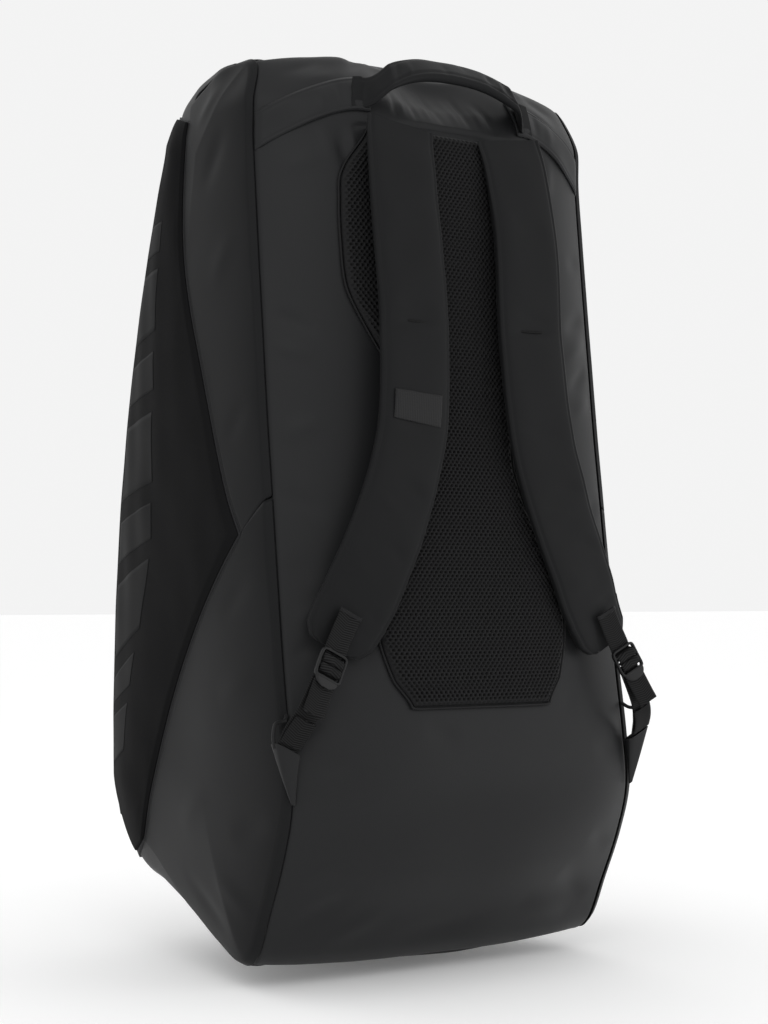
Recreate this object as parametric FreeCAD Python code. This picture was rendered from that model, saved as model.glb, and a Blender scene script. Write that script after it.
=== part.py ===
"""Racket backpack: a soft two-compartment bag for rackets, built piece by piece in millimetres.

Frame: +Z up, origin under the middle of the bag on the floor, -Y towards the wearer's back,
+X to the right as seen from behind the wearer. Each piece is one STEP file in parts/.
"""
import FreeCAD, Part
import math
import os

V = FreeCAD.Vector

# ---- driving dimensions ------------------------------------------------------------------
MID_Y = 17.7            # the outline is drawn from the yoke; the bag's middle is this far ahead
WALL_X = 164.0          # inner plane of each side wall
WALL_T = 4.0            # foam-backed fabric of the walls and panels
DOME = 16.0             # how far a side wall swells at its middle
DOME_REACH = 120.0      # distance from the seam at which the wall is fully swollen
JOINT_GAP = 0.8         # clearance between panels that part when a wall opens
SEAM_GAP = 0.4          # clearance between pieces sewn to the same body
BACK_POWER = 3.0        # how square the pillow of the back panel is
ARC_Y, ARC_Z, ARC_R = -929.5, 227.3, 1105.0     # the long front edge is one circular arc
ARC_STOPS = (195, 240, 310, 385, 455, 525, 590, 645, 690)

TAPE_T = 1.6            # zip tape with its coil
STRIP = (146.2, 163.7)  # ripstop strip on the wall's front edge, in x
OUTER_TAPE = (134.5, 146.0)
INNER_TAPE = (120.6, 132.1)
PANEL_X = 120.2         # half width of the top, front and base panels

POCKET_T = 2.5          # stretch fabric of the side pocket
POCKET_RISE = 5.8       # how far the pocket stands off the wall
MESH_T, MESH_GAP = 6.5, 1.0      # air mesh pad, and its clearance over the back panel
PAD_T = 11.5            # shoulder strap thickness
PAD_HALF = 32.0         # shoulder strap half width
WEB_W, WEB_T = 20.0, 1.6
STRAP_SPLIT_Z = 650.0   # above this the strap is sewn to the bag, below it swings


def arc_y(z, inset=0.0):
    """The front arc's y at height z."""
    radius = ARC_R - inset
    return ARC_Y + math.sqrt(radius * radius - (z - ARC_Z) ** 2)


# Side outline (y, z), from the top back corner down the back seam and round to the top again.
OUTLINE = [(-50, 742), (-62, 715), (-63, 680), (-68, 630), (-74, 575), (-81, 515), (-88, 455),
           (-97, 390), (-106, 325), (-116, 255), (-126, 195), (-133, 150), (-125, 108),
           (-106, 65), (-84, 30), (-55, 21), (-15, 31), (40, 57), (85, 80), (126, 114),
           (160, 158)]
OUTLINE += [(arc_y(z), z) for z in ARC_STOPS]
OUTLINE += [(54, 712), (28, 727), (-2, 737), (-28, 744)]
COUNT = len(OUTLINE)
# Swell of the panels over the outline, at the same points.
SWELL = [26, 36, 40, 41, 39, 36.5, 34, 32, 29, 28, 28, 29, 27, 22, 21, 22.5, 34, 60, 52, 40,
         28, 22, 20, 20, 20, 20, 20, 20, 20, 20, 20, 21, 23, 24]
# Runs of the outline taken by each panel.
BACK_RUN = (0.25, 14.0)
BASE_RUN = (14.02, 20.5)
FRONT_RUN = (20.52, 29.4)
TOP_RUN = (29.42, COUNT + 0.23)
ZIP_RUN = (14.1, COUNT - 0.05)


def cubic(a, b, c, d, f):
    """Catmull-Rom interpolation between b and c."""
    return 0.5 * (2 * b + (c - a) * f + (2 * a - 5 * b + 4 * c - d) * f * f
                  + (3 * b - a - 3 * c + d) * f ** 3)


def closed(values, s):
    """A closed list read smoothly at the real index s."""
    i = math.floor(s)
    return cubic(*[values[(i + k) % COUNT] for k in (-1, 0, 1, 2)], s - i)


OUTLINE_Y = [p[0] for p in OUTLINE]
OUTLINE_Z = [p[1] for p in OUTLINE]


def seam(s):
    """Outline point and outward normal at s, as ((y, z), (ny, nz))."""
    y, z = closed(OUTLINE_Y, s), closed(OUTLINE_Z, s)
    dy = closed(OUTLINE_Y, s + 0.01) - closed(OUTLINE_Y, s - 0.01)
    dz = closed(OUTLINE_Z, s + 0.01) - closed(OUTLINE_Z, s - 0.01)
    size = math.hypot(dy, dz)
    return (y, z), (dz / size, -dy / size)


def bump(t):
    """1 at the middle, falling smoothly to 0 at t = -1 and 1."""
    return (1 - t * t) ** 2 if abs(t) < 1 else 0.0


HANDLE_DENT = 20.0      # the fabric under the handle is pushed in for the fingers
DENT_HALF_X = 84.0


def shell_point(s, x, half, lift=0.0):
    """A point of the pillow surface: the outline plus its swell, which fades to the edge."""
    (y, z), (ny, nz) = seam(s)
    swell = closed(SWELL, s) * (1 - min(abs(x) / half, 1.0) ** BACK_POWER)
    turn = s if s < COUNT / 2 else s - COUNT
    swell -= HANDLE_DENT * bump((turn - 0.55) / 1.2) * bump(x / DENT_HALF_X)
    return V(x, y + ny * (swell + lift), z + nz * (swell + lift))


def on_back(x, z, lift=0.0):
    """The point of the back panel at (x, z), raised by lift."""
    low, high = BACK_RUN
    for _ in range(40):
        mid = (low + high) / 2
        if shell_point(mid, x, WALL_X, lift).z > z:
            low = mid
        else:
            high = mid
    return shell_point(low, x, WALL_X, lift)


SAMPLES = [(closed(OUTLINE_Y, k / 8), closed(OUTLINE_Z, k / 8)) for k in range(8 * COUNT + 1)]


def reach_to(y, z, a, b):
    """Distance from (y, z) to the line between two points."""
    run = (b[0] - a[0], b[1] - a[1])
    f = ((y - a[0]) * run[0] + (z - a[1]) * run[1]) / (run[0] ** 2 + run[1] ** 2)
    f = min(max(f, 0.0), 1.0)
    return math.hypot(y - a[0] - run[0] * f, z - a[1] - run[1] * f)


def dome(y, z):
    """Outward swell of a side wall at (y, z)."""
    reach = min(reach_to(y, z, a, b) for a, b in zip(SAMPLES, SAMPLES[1:]))
    q = min(reach / DOME_REACH, 1.0)
    return DOME * (2 * q - q * q) ** 0.75


# ---- solid makers ------------------------------------------------------------------------
def surface(grid):
    """A smooth surface through a grid of points."""
    patch = Part.BSplineSurface()
    patch.interpolate(grid)
    return patch


def closed_solid(faces):
    """One valid solid from faces that meet along their edges."""
    shell = Part.makeCompound(faces)
    shell.sewShape(0.01)
    solid = Part.Solid(shell.Shells[0])
    if solid.Volume < 0:
        solid.reverse()
    return solid


def grid_solid(outer, inner):
    """A solid between two smooth grids of the same size."""
    top, under = surface(outer), surface(inner)
    faces = [top.toShape(), under.toShape()]
    u0, u1, v0, v1 = top.bounds()
    p0, p1, q0, q1 = under.bounds()
    for a, b in ((top.uIso(u0), under.uIso(p0)), (top.uIso(u1), under.uIso(p1)),
                 (top.vIso(v0), under.vIso(q0)), (top.vIso(v1), under.vIso(q1))):
        faces.append(Part.makeRuledSurface(a.toShape(), b.toShape()))
    return closed_solid(faces)


def spread(start, end, count):
    """count values from start to end."""
    return [start + (end - start) * k / (count - 1) for k in range(count)]


def smooth_edge(points):
    curve = Part.BSplineCurve()
    curve.interpolate(points)
    return curve.toShape()


def offset_points(run, offset, count, x=0.0):
    """Points along the outline at a fixed distance outside it (inside if negative)."""
    points = []
    for s in spread(run[0], run[1], count):
        (y, z), (ny, nz) = seam(s)
        points.append(V(x, y + ny * offset, z + nz * offset))
    return points


def outline_strip(run, near, far, x_range, count=40):
    """A strip along the outline between two offsets, extruded between two x values."""
    x0, x1 = min(x_range), max(x_range)
    a = offset_points(run, near, count, x0)
    b = offset_points(run, far, count, x0)
    wire = Part.Wire([smooth_edge(a), Part.makeLine(a[-1], b[-1]),
                      smooth_edge(b[::-1]), Part.makeLine(b[0], a[0])])
    return Part.Face(wire).extrude(V(x1 - x0, 0, 0))


def panel(run, half, count_s, count_x, inner=WALL_T):
    """A pillow panel over a run of the outline."""
    def grid(lift):
        return [[shell_point(s, x, half, lift) for x in spread(-half, half, count_x)]
                for s in spread(run[0], run[1], count_s)]
    return grid_solid(grid(0.0), grid(-inner))


def ribbon(points, across, width, thick, face):
    """A flat band: points down its middle, across = width direction, face = outer normal."""
    outer = [[p + across * (width * k) for k in (-0.5, 0.0, 0.5)] for p in points]
    inner = [[p - face * thick for p in row] for row in outer]
    return grid_solid(outer, inner)


def pad_ring(centre, across, face, half, thick):
    """A closed ring of points round a padded strap, its outer face through centre."""
    points = []
    for k in range(16):
        angle = 2 * math.pi * k / 16
        c, s = math.cos(angle), math.sin(angle)
        u = half * math.copysign(abs(c) ** 0.7, c)
        v = thick / 2 * math.copysign(abs(s) ** 0.8, s)
        points.append(centre + across * u + face * (v - thick / 2))
    return points + points[:1]


def tube_solid(rings):
    """A solid whose skin runs through closed rings of points, with flat ends."""
    skin = surface(rings)
    low, high = skin.bounds()[:2]
    ends = [Part.Face(Part.Wire([skin.uIso(u).toShape()])) for u in (low, high)]
    return closed_solid([skin.toShape()] + ends)


def box_at(centre, across, along, face, size):
    """A box centred at a point, with its own three axes."""
    block = Part.makeBox(size[0], size[1], size[2], V(-size[0] / 2, -size[1] / 2, -size[2] / 2))
    turn = FreeCAD.Matrix(across.x, along.x, face.x, centre.x,
                          across.y, along.y, face.y, centre.y,
                          across.z, along.z, face.z, centre.z, 0, 0, 0, 1)
    block.transformShape(turn)
    return block


def mirrored(shape):
    """The same piece on the other side of the bag."""
    return shape.mirror(V(0, 0, 0), V(1, 0, 0))


os.makedirs("parts", exist_ok=True)


def export(name, shape):
    """Write one piece, moved so that the origin is under the middle of the whole bag."""
    solids = shape.Solids
    if not solids or not all(s.isValid() for s in solids):
        print("CHECK", name, len(solids), "solids")
    placed = shape.copy()
    placed.translate(V(0, -MID_Y, 0))
    placed.exportStep("parts/" + name + ".step")


def export_pair(name, right):
    """The right-hand piece and its mirror image."""
    export(name + "_right", right)
    export(name + "_left", mirrored(right))


# ---- the bag's fixed shell -----------------------------------------------------------------
back_half = WALL_X - JOINT_GAP
export("back_panel", panel(BACK_RUN, back_half, 36, 17))
export("top_panel", panel(TOP_RUN, PANEL_X, 14, 11))
export("front_panel", panel(FRONT_RUN, PANEL_X, 14, 9))
floor_cut = Part.makeBox(800, 800, 60, V(-400, -400, -60))
export("base_panel", panel(BASE_RUN, PANEL_X, 16, 13, 5.0).cut(floor_cut))

# The moulded foam board stands inside the back panel and keeps the bag in shape.
BOARD_T, BOARD_HALF, BOARD_GAP = 3.0, 138.0, 1.5
BOARD_RUN = (2.2, 12.4)


def board_grid(lift):
    return [[shell_point(s, x, WALL_X, lift) for x in spread(-BOARD_HALF, BOARD_HALF, 13)]
            for s in spread(BOARD_RUN[0], BOARD_RUN[1], 26)]


export("back_board", grid_solid(board_grid(-WALL_T - BOARD_GAP),
                                board_grid(-WALL_T - BOARD_GAP - BOARD_T)))

# The divider splits the bag into two racket compartments.
DIVIDER_T, DIVIDER_INSET = 3.0, 10.0
loop = []
for s in spread(0, COUNT - 0.5, 2 * COUNT):
    (y, z), (ny, nz) = seam(s)
    reach = shell_point(s, 0.0, WALL_X if s < 14.2 else PANEL_X)
    away = (reach.y - y) * ny + (reach.z - z) * nz - DIVIDER_INSET
    loop.append(V(-DIVIDER_T / 2, y + ny * away, max(z + nz * away, DIVIDER_INSET)))
divider_edge = Part.BSplineCurve()
divider_edge.interpolate(loop, PeriodicFlag=True)
export("divider", Part.Face(Part.Wire([divider_edge.toShape()])).extrude(V(DIVIDER_T, 0, 0)))

export_pair("zip_inner_tape", outline_strip(ZIP_RUN, -TAPE_T, 0.0, INNER_TAPE))

# ---- air mesh pad: an hourglass on the back panel, with a piped edge -------------------------
MESH_HALF = [(225, 66), (245, 80), (281, 90), (318, 87), (352, 72), (385, 56), (420, 45),
             (460, 52), (505, 86), (545, 112), (590, 119), (630, 117), (660, 108), (694, 86)]


def mesh_half(z):
    """Half width of the mesh pad at height z."""
    last = len(MESH_HALF) - 1
    for i in range(last):
        if z <= MESH_HALF[i + 1][0] or i == last - 1:
            f = (z - MESH_HALF[i][0]) / (MESH_HALF[i + 1][0] - MESH_HALF[i][0])
            near = [MESH_HALF[min(max(i + k, 0), last)][1] for k in (-1, 0, 1, 2)]
            return cubic(*near, f)


def mesh_grid(lift):
    return [[on_back(mesh_half(z) * t, z, lift) for t in spread(-1, 1, 9)]
            for z in spread(MESH_HALF[0][0], MESH_HALF[-1][0], 28)]


export("back_mesh_pad", grid_solid(mesh_grid(MESH_T), mesh_grid(MESH_GAP)))

# Piping sewn round the pad's sides.
PIPE_R, PIPE_GAP = 1.8, 2.2


def piping_side(side):
    path = [on_back(side * (mesh_half(z) + PIPE_R + PIPE_GAP), z, PIPE_R + MESH_GAP)
            for z in spread(MESH_HALF[0][0], MESH_HALF[-1][0], 28)]
    spine = Part.Wire([smooth_edge(path)])
    start = Part.Circle(path[0], path[1] - path[0], PIPE_R)
    return spine.makePipeShell([Part.Wire([start.toShape()])], True, True)


export("mesh_piping", Part.makeCompound([piping_side(-1), piping_side(1)]))

# ---- yoke band, either side of the handle ----------------------------------------------------
BAND_T, BAND_GAP, BAND_H = 2.0, 0.9, 31.0
BAND_X = (85.0, 161.0)
BAND_INNER_Z, BAND_DROP = 707.0, 37.0     # its low edge by the handle, and its fall to the side


def band_low(x):
    return BAND_INNER_Z - BAND_DROP * ((x - BAND_X[0]) / (WALL_X - BAND_X[0])) ** 1.5


def band_grid(lift):
    return [[on_back(x, band_low(x) + f * BAND_H, lift) for f in spread(0, 1, 4)]
            for x in spread(BAND_X[0], BAND_X[1], 10)]


export_pair("yoke_band", grid_solid(band_grid(BAND_GAP + BAND_T), band_grid(BAND_GAP)))

# ---- grab handle -----------------------------------------------------------------------------
HANDLE_HALF_X, HANDLE_LOW, HANDLE_TOP = 83.5, 723.0, 754.0
HANDLE_Y, HANDLE_LEAN = -112.0, 10.0
HANDLE_TILT = (8.0, 48.0)       # degrees, at its ends and at its middle
HANDLE_HALF_H, HANDLE_T = (12.5, 14.5), (8.0, 11.0)


def between(pair, f):
    return pair[0] + (pair[1] - pair[0]) * f


sections = []
for angle in spread(-90, 90, 15):
    t = math.sin(math.radians(angle))
    rise = 1 - abs(t) ** 2.6
    tilt = math.radians(between(HANDLE_TILT, rise))
    centre = V(HANDLE_HALF_X * t, HANDLE_Y + HANDLE_LEAN * rise,
               between((HANDLE_LOW, HANDLE_TOP), rise))
    up = V(0, math.sin(tilt), math.cos(tilt))
    out = V(0, -math.cos(tilt), math.sin(tilt))
    sections.append(pad_ring(centre + out * HANDLE_T[0] / 2, up, out,
                             between(HANDLE_HALF_H, rise), between(HANDLE_T, rise)))
export("grab_handle", tube_solid(sections))

# ---- side walls: each is a door hinged on the back seam ----------------------------------------
# Edge between the upper side panel and the pocket, top to bottom, then between the pocket and
# the lower side panel, as (y, z).
UPPER_EDGE = [(25, 711), (28, 681), (28, 647), (25, 612), (18, 578), (8, 545), (-7, 506),
              (-23, 463), (-38, 423), (-53, 388), (-69, 360)]
LOWER_EDGE = [(-69, 360), (-51, 340), (-30, 316), (-5, 286), (20, 253), (42, 219), (58, 190),
              (72, 163), (86, 138), (100, 112), (108, 101)]


def along(points, f):
    """A list of (y, z) points read smoothly at the fraction f of its index range."""
    last = len(points) - 1
    i = min(int(f * last), last - 1)
    near = [points[min(max(i + k, 0), last)] for k in (-1, 0, 1, 2)]
    return (cubic(*[p[0] for p in near], f * last - i),
            cubic(*[p[1] for p in near], f * last - i))


def on_outline(run, f):
    point, _ = seam(run[0] + (run[1] - run[0]) * f)
    return point


def wall_patch(edge_a, edge_b, count_u, offset, thick, rows=(0, .05, .14, .3, .55, .8, 1)):
    """A side wall piece between two edges, each a function of f giving (y, z)."""
    outer, inner = [], []
    for f in spread(0, 1, count_u):
        a, b = edge_a(f), edge_b(f)
        line = [(a[0] + (b[0] - a[0]) * r, a[1] + (b[1] - a[1]) * r) for r in rows]
        reach = [(WALL_X + dome(y, z) + offset(f, r), y, z) for (y, z), r in zip(line, rows)]
        inner.append([V(x, y, z) for x, y, z in reach])
        outer.append([V(x + thick, y, z) for x, y, z in reach])
    return grid_solid(outer, inner)


SEAM_UPPER_RUN = (COUNT - 3.1, COUNT + 7.0)     # top front corner, over the top, down the back
SEAM_LOWER_RUN = (7.03, 18.55)                  # on down the back seam and under the bottom
SEAM_FRONT_RUN = (29.9, 18.62)                  # up the front, read from the top down


def flat(f, r):
    return 0.0


def inset(edge, shift):
    """The same edge moved by a small (y, z) step, to leave a seam gap."""
    return lambda f: (edge(f)[0] + shift[0], edge(f)[1] + shift[1])


def upper_seam(f):
    return on_outline(SEAM_UPPER_RUN, f)


def lower_seam(f):
    return on_outline(SEAM_LOWER_RUN, f)


def upper_edge(f):
    return along(UPPER_EDGE, f)


def lower_edge(f):
    return along(LOWER_EDGE, f)


export_pair("side_upper", wall_patch(upper_seam, inset(upper_edge, (-0.5, 0.0)), 26, flat, WALL_T))
export_pair("side_lower", wall_patch(lower_seam, inset(lower_edge, (-0.3, -0.4)), 28, flat, WALL_T))

POCKET_SPLIT = 0.6      # the share of the pocket's height that borders the upper side panel


def pocket_edge(f):
    """Both inner edges of the pocket as one line, top to bottom."""
    if f < POCKET_SPLIT:
        return upper_edge(f / POCKET_SPLIT)
    return lower_edge((f - POCKET_SPLIT) / (1 - POCKET_SPLIT))


def front_line(step):
    """The front edge moved inwards by step."""
    def line(f):
        (y, z), (ny, nz) = seam(SEAM_FRONT_RUN[0] + (SEAM_FRONT_RUN[1] - SEAM_FRONT_RUN[0]) * f)
        return (y - ny * step, z - nz * step)
    return line


export_pair("pocket_backing", wall_patch(inset(pocket_edge, (0.9, 0.2)), front_line(0.0), 30,
                                         flat, WALL_T, (0, .2, .45, .7, .86, .95, 1)))

POCKET_INSET, POCKET_GAP = 9.0, 1.3


def pocket_rise(f, r):
    """The pocket skin lies on the wall at its sewn edges and stands off it at the front."""
    ends = min(1.0, f / 0.06, (1 - f) / 0.12)
    return WALL_T + POCKET_GAP + POCKET_RISE * min(1.0, r / 0.25) * max(ends, 0.0)


export_pair("side_pocket", wall_patch(inset(pocket_edge, (1.2, 0.0)), front_line(POCKET_INSET), 30,
                                      pocket_rise, POCKET_T, (0, .12, .25, .5, .75, .9, 1)))

POCKET_ZIP_X = (172.4, 178.6)
POCKET_ZIP_RUN = (19.7, 29.3)
POCKET_ZIP_IN = 6.2     # how far inside the front edge the pocket zip lies
export_pair("pocket_zip_tape", outline_strip(POCKET_ZIP_RUN, -POCKET_ZIP_IN - TAPE_T, -POCKET_ZIP_IN,
                                             POCKET_ZIP_X, 30))
export_pair("zip_outer_tape", outline_strip(ZIP_RUN, -TAPE_T, 0.0, OUTER_TAPE))
export_pair("zip_strip", outline_strip(ZIP_RUN, -TAPE_T, 0.0, STRIP))

# ---- zip sliders and pulls ----------------------------------------------------------------------


def arc_frame(angle, inset_mm):
    """Point, tangent (down) and outward normal on the front arc at an angle in degrees."""
    a = math.radians(angle)
    radius = ARC_R - inset_mm
    point = V(0, ARC_Y + radius * math.cos(a), ARC_Z + radius * math.sin(a))
    return point, V(0, math.sin(a), -math.cos(a)), V(0, math.cos(a), math.sin(a))


SLIDER_L, PLATE_T, BAIL_W = 13.0, 1.6, 2.4


def slider(x, angle, inset_mm, width, double):
    """A zip slider: a plate over the coil, a bail for the pull, and a plate and post below."""
    point, down, out = arc_frame(angle, inset_mm)
    side = V(1, 0, 0)
    centre = point + V(x, 0, 0)
    plate = (width, SLIDER_L, PLATE_T)
    body = box_at(centre + out * 1.6, side, down, out, plate)
    for end in (-3.5, 3.5):
        body = body.fuse(box_at(centre + out * 3.3 + down * end, side, down, out, (BAIL_W, 1.6, 2.4)))
    body = body.fuse(box_at(centre + out * 5.0, side, down, out, (BAIL_W, 8.6, 1.2)))
    if double:
        body = body.fuse(box_at(centre - out * 3.2, side, down, out, plate))
        body = body.fuse(box_at(centre - out * 0.8, side, down, out, (1.4, 4.0, 4.0)))
    return body


PULL_L, PULL_OUT = 24.0, 3.6
RING_W, RING_BAR, RING_T = 5.6, 0.9, 1.0      # the ring turns on its top bar, inside the bail
RING_HOLE = (3.2, 9.8)
RING_L = RING_BAR + RING_HOLE[1] + 1.9


def pull(x, angle, inset_mm):
    """A ring and tab that hang from the slider's bail and lie along the zip."""
    point, down, out = arc_frame(angle, inset_mm)
    side = V(1, 0, 0)
    hook = point + V(x, 0, 0) + out * PULL_OUT
    ring = box_at(hook + down * (RING_L / 2 - RING_BAR), side, down, out, (RING_W, RING_L, RING_T))
    ring = ring.cut(box_at(hook + down * RING_HOLE[1] / 2, side, down, out, (*RING_HOLE, 4 * RING_T)))
    tab = box_at(hook + down * (RING_L - RING_BAR - 0.1 + PULL_L / 2), side, down, out,
                 (5.0, PULL_L, 2.4))
    return ring.fuse(tab)


MAIN_ZIP_X = (OUTER_TAPE[0] + INNER_TAPE[1]) / 2
MAIN_ANGLE, POCKET_ANGLE = 21.9, 23.6
export_pair("main_slider", slider(MAIN_ZIP_X, MAIN_ANGLE, 0.0, 9.0, True))
export_pair("main_pull", pull(MAIN_ZIP_X, MAIN_ANGLE, 0.0))
POCKET_SLIDER_X = (POCKET_ZIP_X[0] + POCKET_ZIP_X[1]) / 2 + 0.1
export_pair("pocket_slider", slider(POCKET_SLIDER_X, POCKET_ANGLE, POCKET_ZIP_IN, 6.6, False))
export_pair("pocket_pull", pull(POCKET_SLIDER_X, POCKET_ANGLE, POCKET_ZIP_IN))

# ---- shoulder straps ------------------------------------------------------------------------------
# Middle of the right strap's outer face, top to bottom.
STRAP_PATH = [(54, -113, 697), (57, -121, 673), (59, -131, 632), (59, -138, 590),
              (57.5, -142, 548), (58, -145, 514), (60.5, -149, 470), (65, -151, 436),
              (74, -152, 403), (85.5, -152.5, 371), (99.5, -152, 339), (113.5, -149.5, 309),
              (126, -146.5, 286), (134, -144.5, 270)]
STRAP_POINTS = [V(*p) for p in STRAP_PATH]
STRAP_ROLL = {9: 3.0, 10: 5.0, 11: 7.0, 12: 8.5, 13: 9.0}     # degrees, inner edge outwards


def strap_frame(index):
    """Centre, width direction and outer normal of the strap at a path point."""
    last = len(STRAP_POINTS) - 1
    run = STRAP_POINTS[min(index + 1, last)] - STRAP_POINTS[max(index - 1, 0)]
    run.normalize()
    across = V(0, -1, 0).cross(run)
    across.normalize()
    if across.x > 0:
        across = across * -1
    roll = math.radians(STRAP_ROLL.get(index, 0.0))
    across = across * math.cos(roll) + V(0, -1, 0) * math.sin(roll)
    face = run.cross(across)
    if face.y > 0:
        face = face * -1
    face.normalize()
    return STRAP_POINTS[index], across, face


last_point = len(STRAP_POINTS) - 1


def full_half(i):
    return {last_point - 1: 29.0, last_point: 20.0}.get(i, PAD_HALF)


def full_thick(i):
    return {0: 4.6, 1: 7.0, 2: 10.5, last_point: 8.0}.get(i, PAD_T)


rings = []
for i in range(last_point + 1):
    centre, across, face = strap_frame(i)
    rings.append(pad_ring(centre, across, face, full_half(i), full_thick(i)))
whole = tube_solid(rings)
SPLIT_GAP = 1.2
above = Part.makeBox(400, 400, 400, V(-200, -300, STRAP_SPLIT_Z + SPLIT_GAP))
below = Part.makeBox(400, 400, 700, V(-200, -300, STRAP_SPLIT_Z - 700))
export_pair("strap_root", whole.common(above))
export_pair("strap_pad", whole.common(below))

# Webbing from the strap's tip through the ladder lock to the anchor tab.
WEB_POINTS = [V(125, -150.2, 297), V(131.5, -149.6, 284), V(138, -151.5, 271),
              V(151.5, -156, 244.5), V(160, -153.5, 225), V(166, -151, 213)]
web_run = WEB_POINTS[3] - WEB_POINTS[2]
web_run.normalize()
web_across = V(0, -1, 0).cross(web_run)
web_across.normalize()
web_face = web_run.cross(web_across)
if web_face.y > 0:
    web_face = web_face * -1
stub = [WEB_POINTS[0] + web_face * 2.2, WEB_POINTS[1] + web_face * 2.2,
        WEB_POINTS[2] + web_face * 1.6]
export_pair("webbing_stub", ribbon(stub, web_across, WEB_W, WEB_T, web_face))

# Ladder lock: a frame with three cross bars and a thumb tongue.
LOCK_W, LOCK_L, LOCK_T = 25.0, 24.0, 3.6
lock_mid = (WEB_POINTS[2] + WEB_POINTS[3]) * 0.5 + web_face * 1.5


def lock_box(across, along_mm, out, size):
    centre = lock_mid + web_across * across + web_run * along_mm + web_face * out
    return box_at(centre, web_across, web_run, web_face, size)


lock = lock_box(0, 0, 0, (LOCK_W, LOCK_L, LOCK_T))
for middle in (-7.3, 0.0, 7.3):
    lock = lock.cut(lock_box(0, middle, 0, (WEB_W + 0.8, 5.2, LOCK_T + 2)))
lock = lock.fuse(lock_box(0, LOCK_L / 2 + 2.0, 1.2, (15.0, 5.0, 1.8)))
export_pair("ladder_lock", lock)

web_back = -LOCK_T / 2 - 0.5
lower = [lock_mid + web_run * 1.0 + web_face * web_back,
         lock_mid + web_run * 13.0 + web_face * web_back, WEB_POINTS[4] + web_face * 0.2, WEB_POINTS[5]]
export_pair("lower_webbing", ribbon(lower, web_across, WEB_W, WEB_T, web_face))
tail_start = lock_mid + web_run * (LOCK_L / 2 + 5.2) + web_face * 0.6
TAIL_L = 18.0
tail = [tail_start, tail_start + web_run * TAIL_L / 2 - web_face * 0.1,
        tail_start + web_run * TAIL_L + web_face * 0.5]
export_pair("webbing_tail", ribbon(tail, web_across, WEB_W - 0.4, WEB_T, web_face))

# A plain woven label on the left strap.
LABEL_HALF, LABEL_T, LABEL_W = 11.0, 0.8, 44.0
label_mid, label_across, label_face = strap_frame(6)
label_run = STRAP_POINTS[7] - STRAP_POINTS[6]
label_run.normalize()
label = [label_mid + label_run * k * LABEL_HALF + label_face * (LABEL_T + SEAM_GAP + 0.3)
         for k in (-0.2, 0.8, 1.8)]
export("strap_label", mirrored(ribbon(label, label_across, LABEL_W, LABEL_T, label_face)))

# Anchor tabs: folded triangles of fabric sewn into the back seam.
TAB_T = 2.4
TAB_APEX, TAB_MOUTH = V(164.0, -140.5, 152.0), V(170.5, -146.0, 195.0)
TAB_HALF = (3.0, 12.5)      # half width at the apex and at the mouth
tab_rows = []
for f in spread(0, 1, 4):
    middle = TAB_APEX + (TAB_MOUTH - TAB_APEX) * f
    tab_rows.append([middle + web_across * (between(TAB_HALF, f) * k) for k in (-1.0, 0.0, 1.0)])
tab_under = [[p + V(0, TAB_T, 0) for p in row] for row in tab_rows]
export_pair("anchor_tab", grid_solid(tab_rows, tab_under))
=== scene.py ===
"""Racket backpack, finished pieces: fabric, padding, zips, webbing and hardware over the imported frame.

Each piece is drawn in millimetres in the bag's own drawing frame (+Z up, -Y towards the wearer's
back, +X to the right seen from behind the wearer) and put() turns it into metres in the part's frame.
"""
import bpy
import numpy as np
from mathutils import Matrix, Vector


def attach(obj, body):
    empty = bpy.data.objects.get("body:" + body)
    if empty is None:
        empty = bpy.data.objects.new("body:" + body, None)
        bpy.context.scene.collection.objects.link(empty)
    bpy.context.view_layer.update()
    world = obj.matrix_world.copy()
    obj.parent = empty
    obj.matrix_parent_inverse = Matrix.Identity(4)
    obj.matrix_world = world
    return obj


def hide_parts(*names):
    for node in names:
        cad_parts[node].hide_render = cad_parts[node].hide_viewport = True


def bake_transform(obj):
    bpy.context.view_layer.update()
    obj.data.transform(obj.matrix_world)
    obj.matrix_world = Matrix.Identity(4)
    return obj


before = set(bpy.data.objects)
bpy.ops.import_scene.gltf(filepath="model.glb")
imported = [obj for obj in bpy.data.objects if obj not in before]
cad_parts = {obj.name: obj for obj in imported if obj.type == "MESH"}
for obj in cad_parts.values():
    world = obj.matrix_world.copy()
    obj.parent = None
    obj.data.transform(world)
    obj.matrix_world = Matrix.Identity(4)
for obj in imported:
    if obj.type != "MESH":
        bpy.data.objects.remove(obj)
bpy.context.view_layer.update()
scene = bpy.context.scene

# ---- Camera, floor and light ---------------------------------------------------------------------
# A long lens at low height, behind the wearer's left, on a pale studio floor under soft light.
LENS = 64.3
EYE, AIM = Vector((-0.848, -1.375, 0.310)), Vector((0.0, -0.0177, 0.385))
PALE = (0.90, 0.90, 0.90, 1)


def link(name, data):
    """A new object in the scene, at the origin."""
    made = bpy.data.objects.new(name, data)
    scene.collection.objects.link(made)
    return made


def look_from(made, eye, aim):
    """Puts a camera or light at eye, pointing at aim."""
    made.location = eye
    made.rotation_euler = (Vector(aim) - Vector(eye)).to_track_quat("-Z", "Y").to_euler()
    return made


camera = look_from(link("camera", bpy.data.cameras.new("camera")), EYE, AIM)
camera.data.lens = LENS
scene.camera = camera
scene.view_settings.view_transform = "Standard"

world = bpy.data.worlds.new("studio")
world.use_nodes = True
world.node_tree.nodes["Background"].inputs["Color"].default_value = PALE
world.node_tree.nodes["Background"].inputs["Strength"].default_value = 1.0
scene.world = world


def soft_light(name, eye, size, power):
    """A square soft box pointing at the middle of the bag."""
    data = bpy.data.lights.new(name, "AREA")
    data.shape, data.size, data.energy = "SQUARE", size, power
    return look_from(link(name, data), eye, (0, 0, 0.4))


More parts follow.
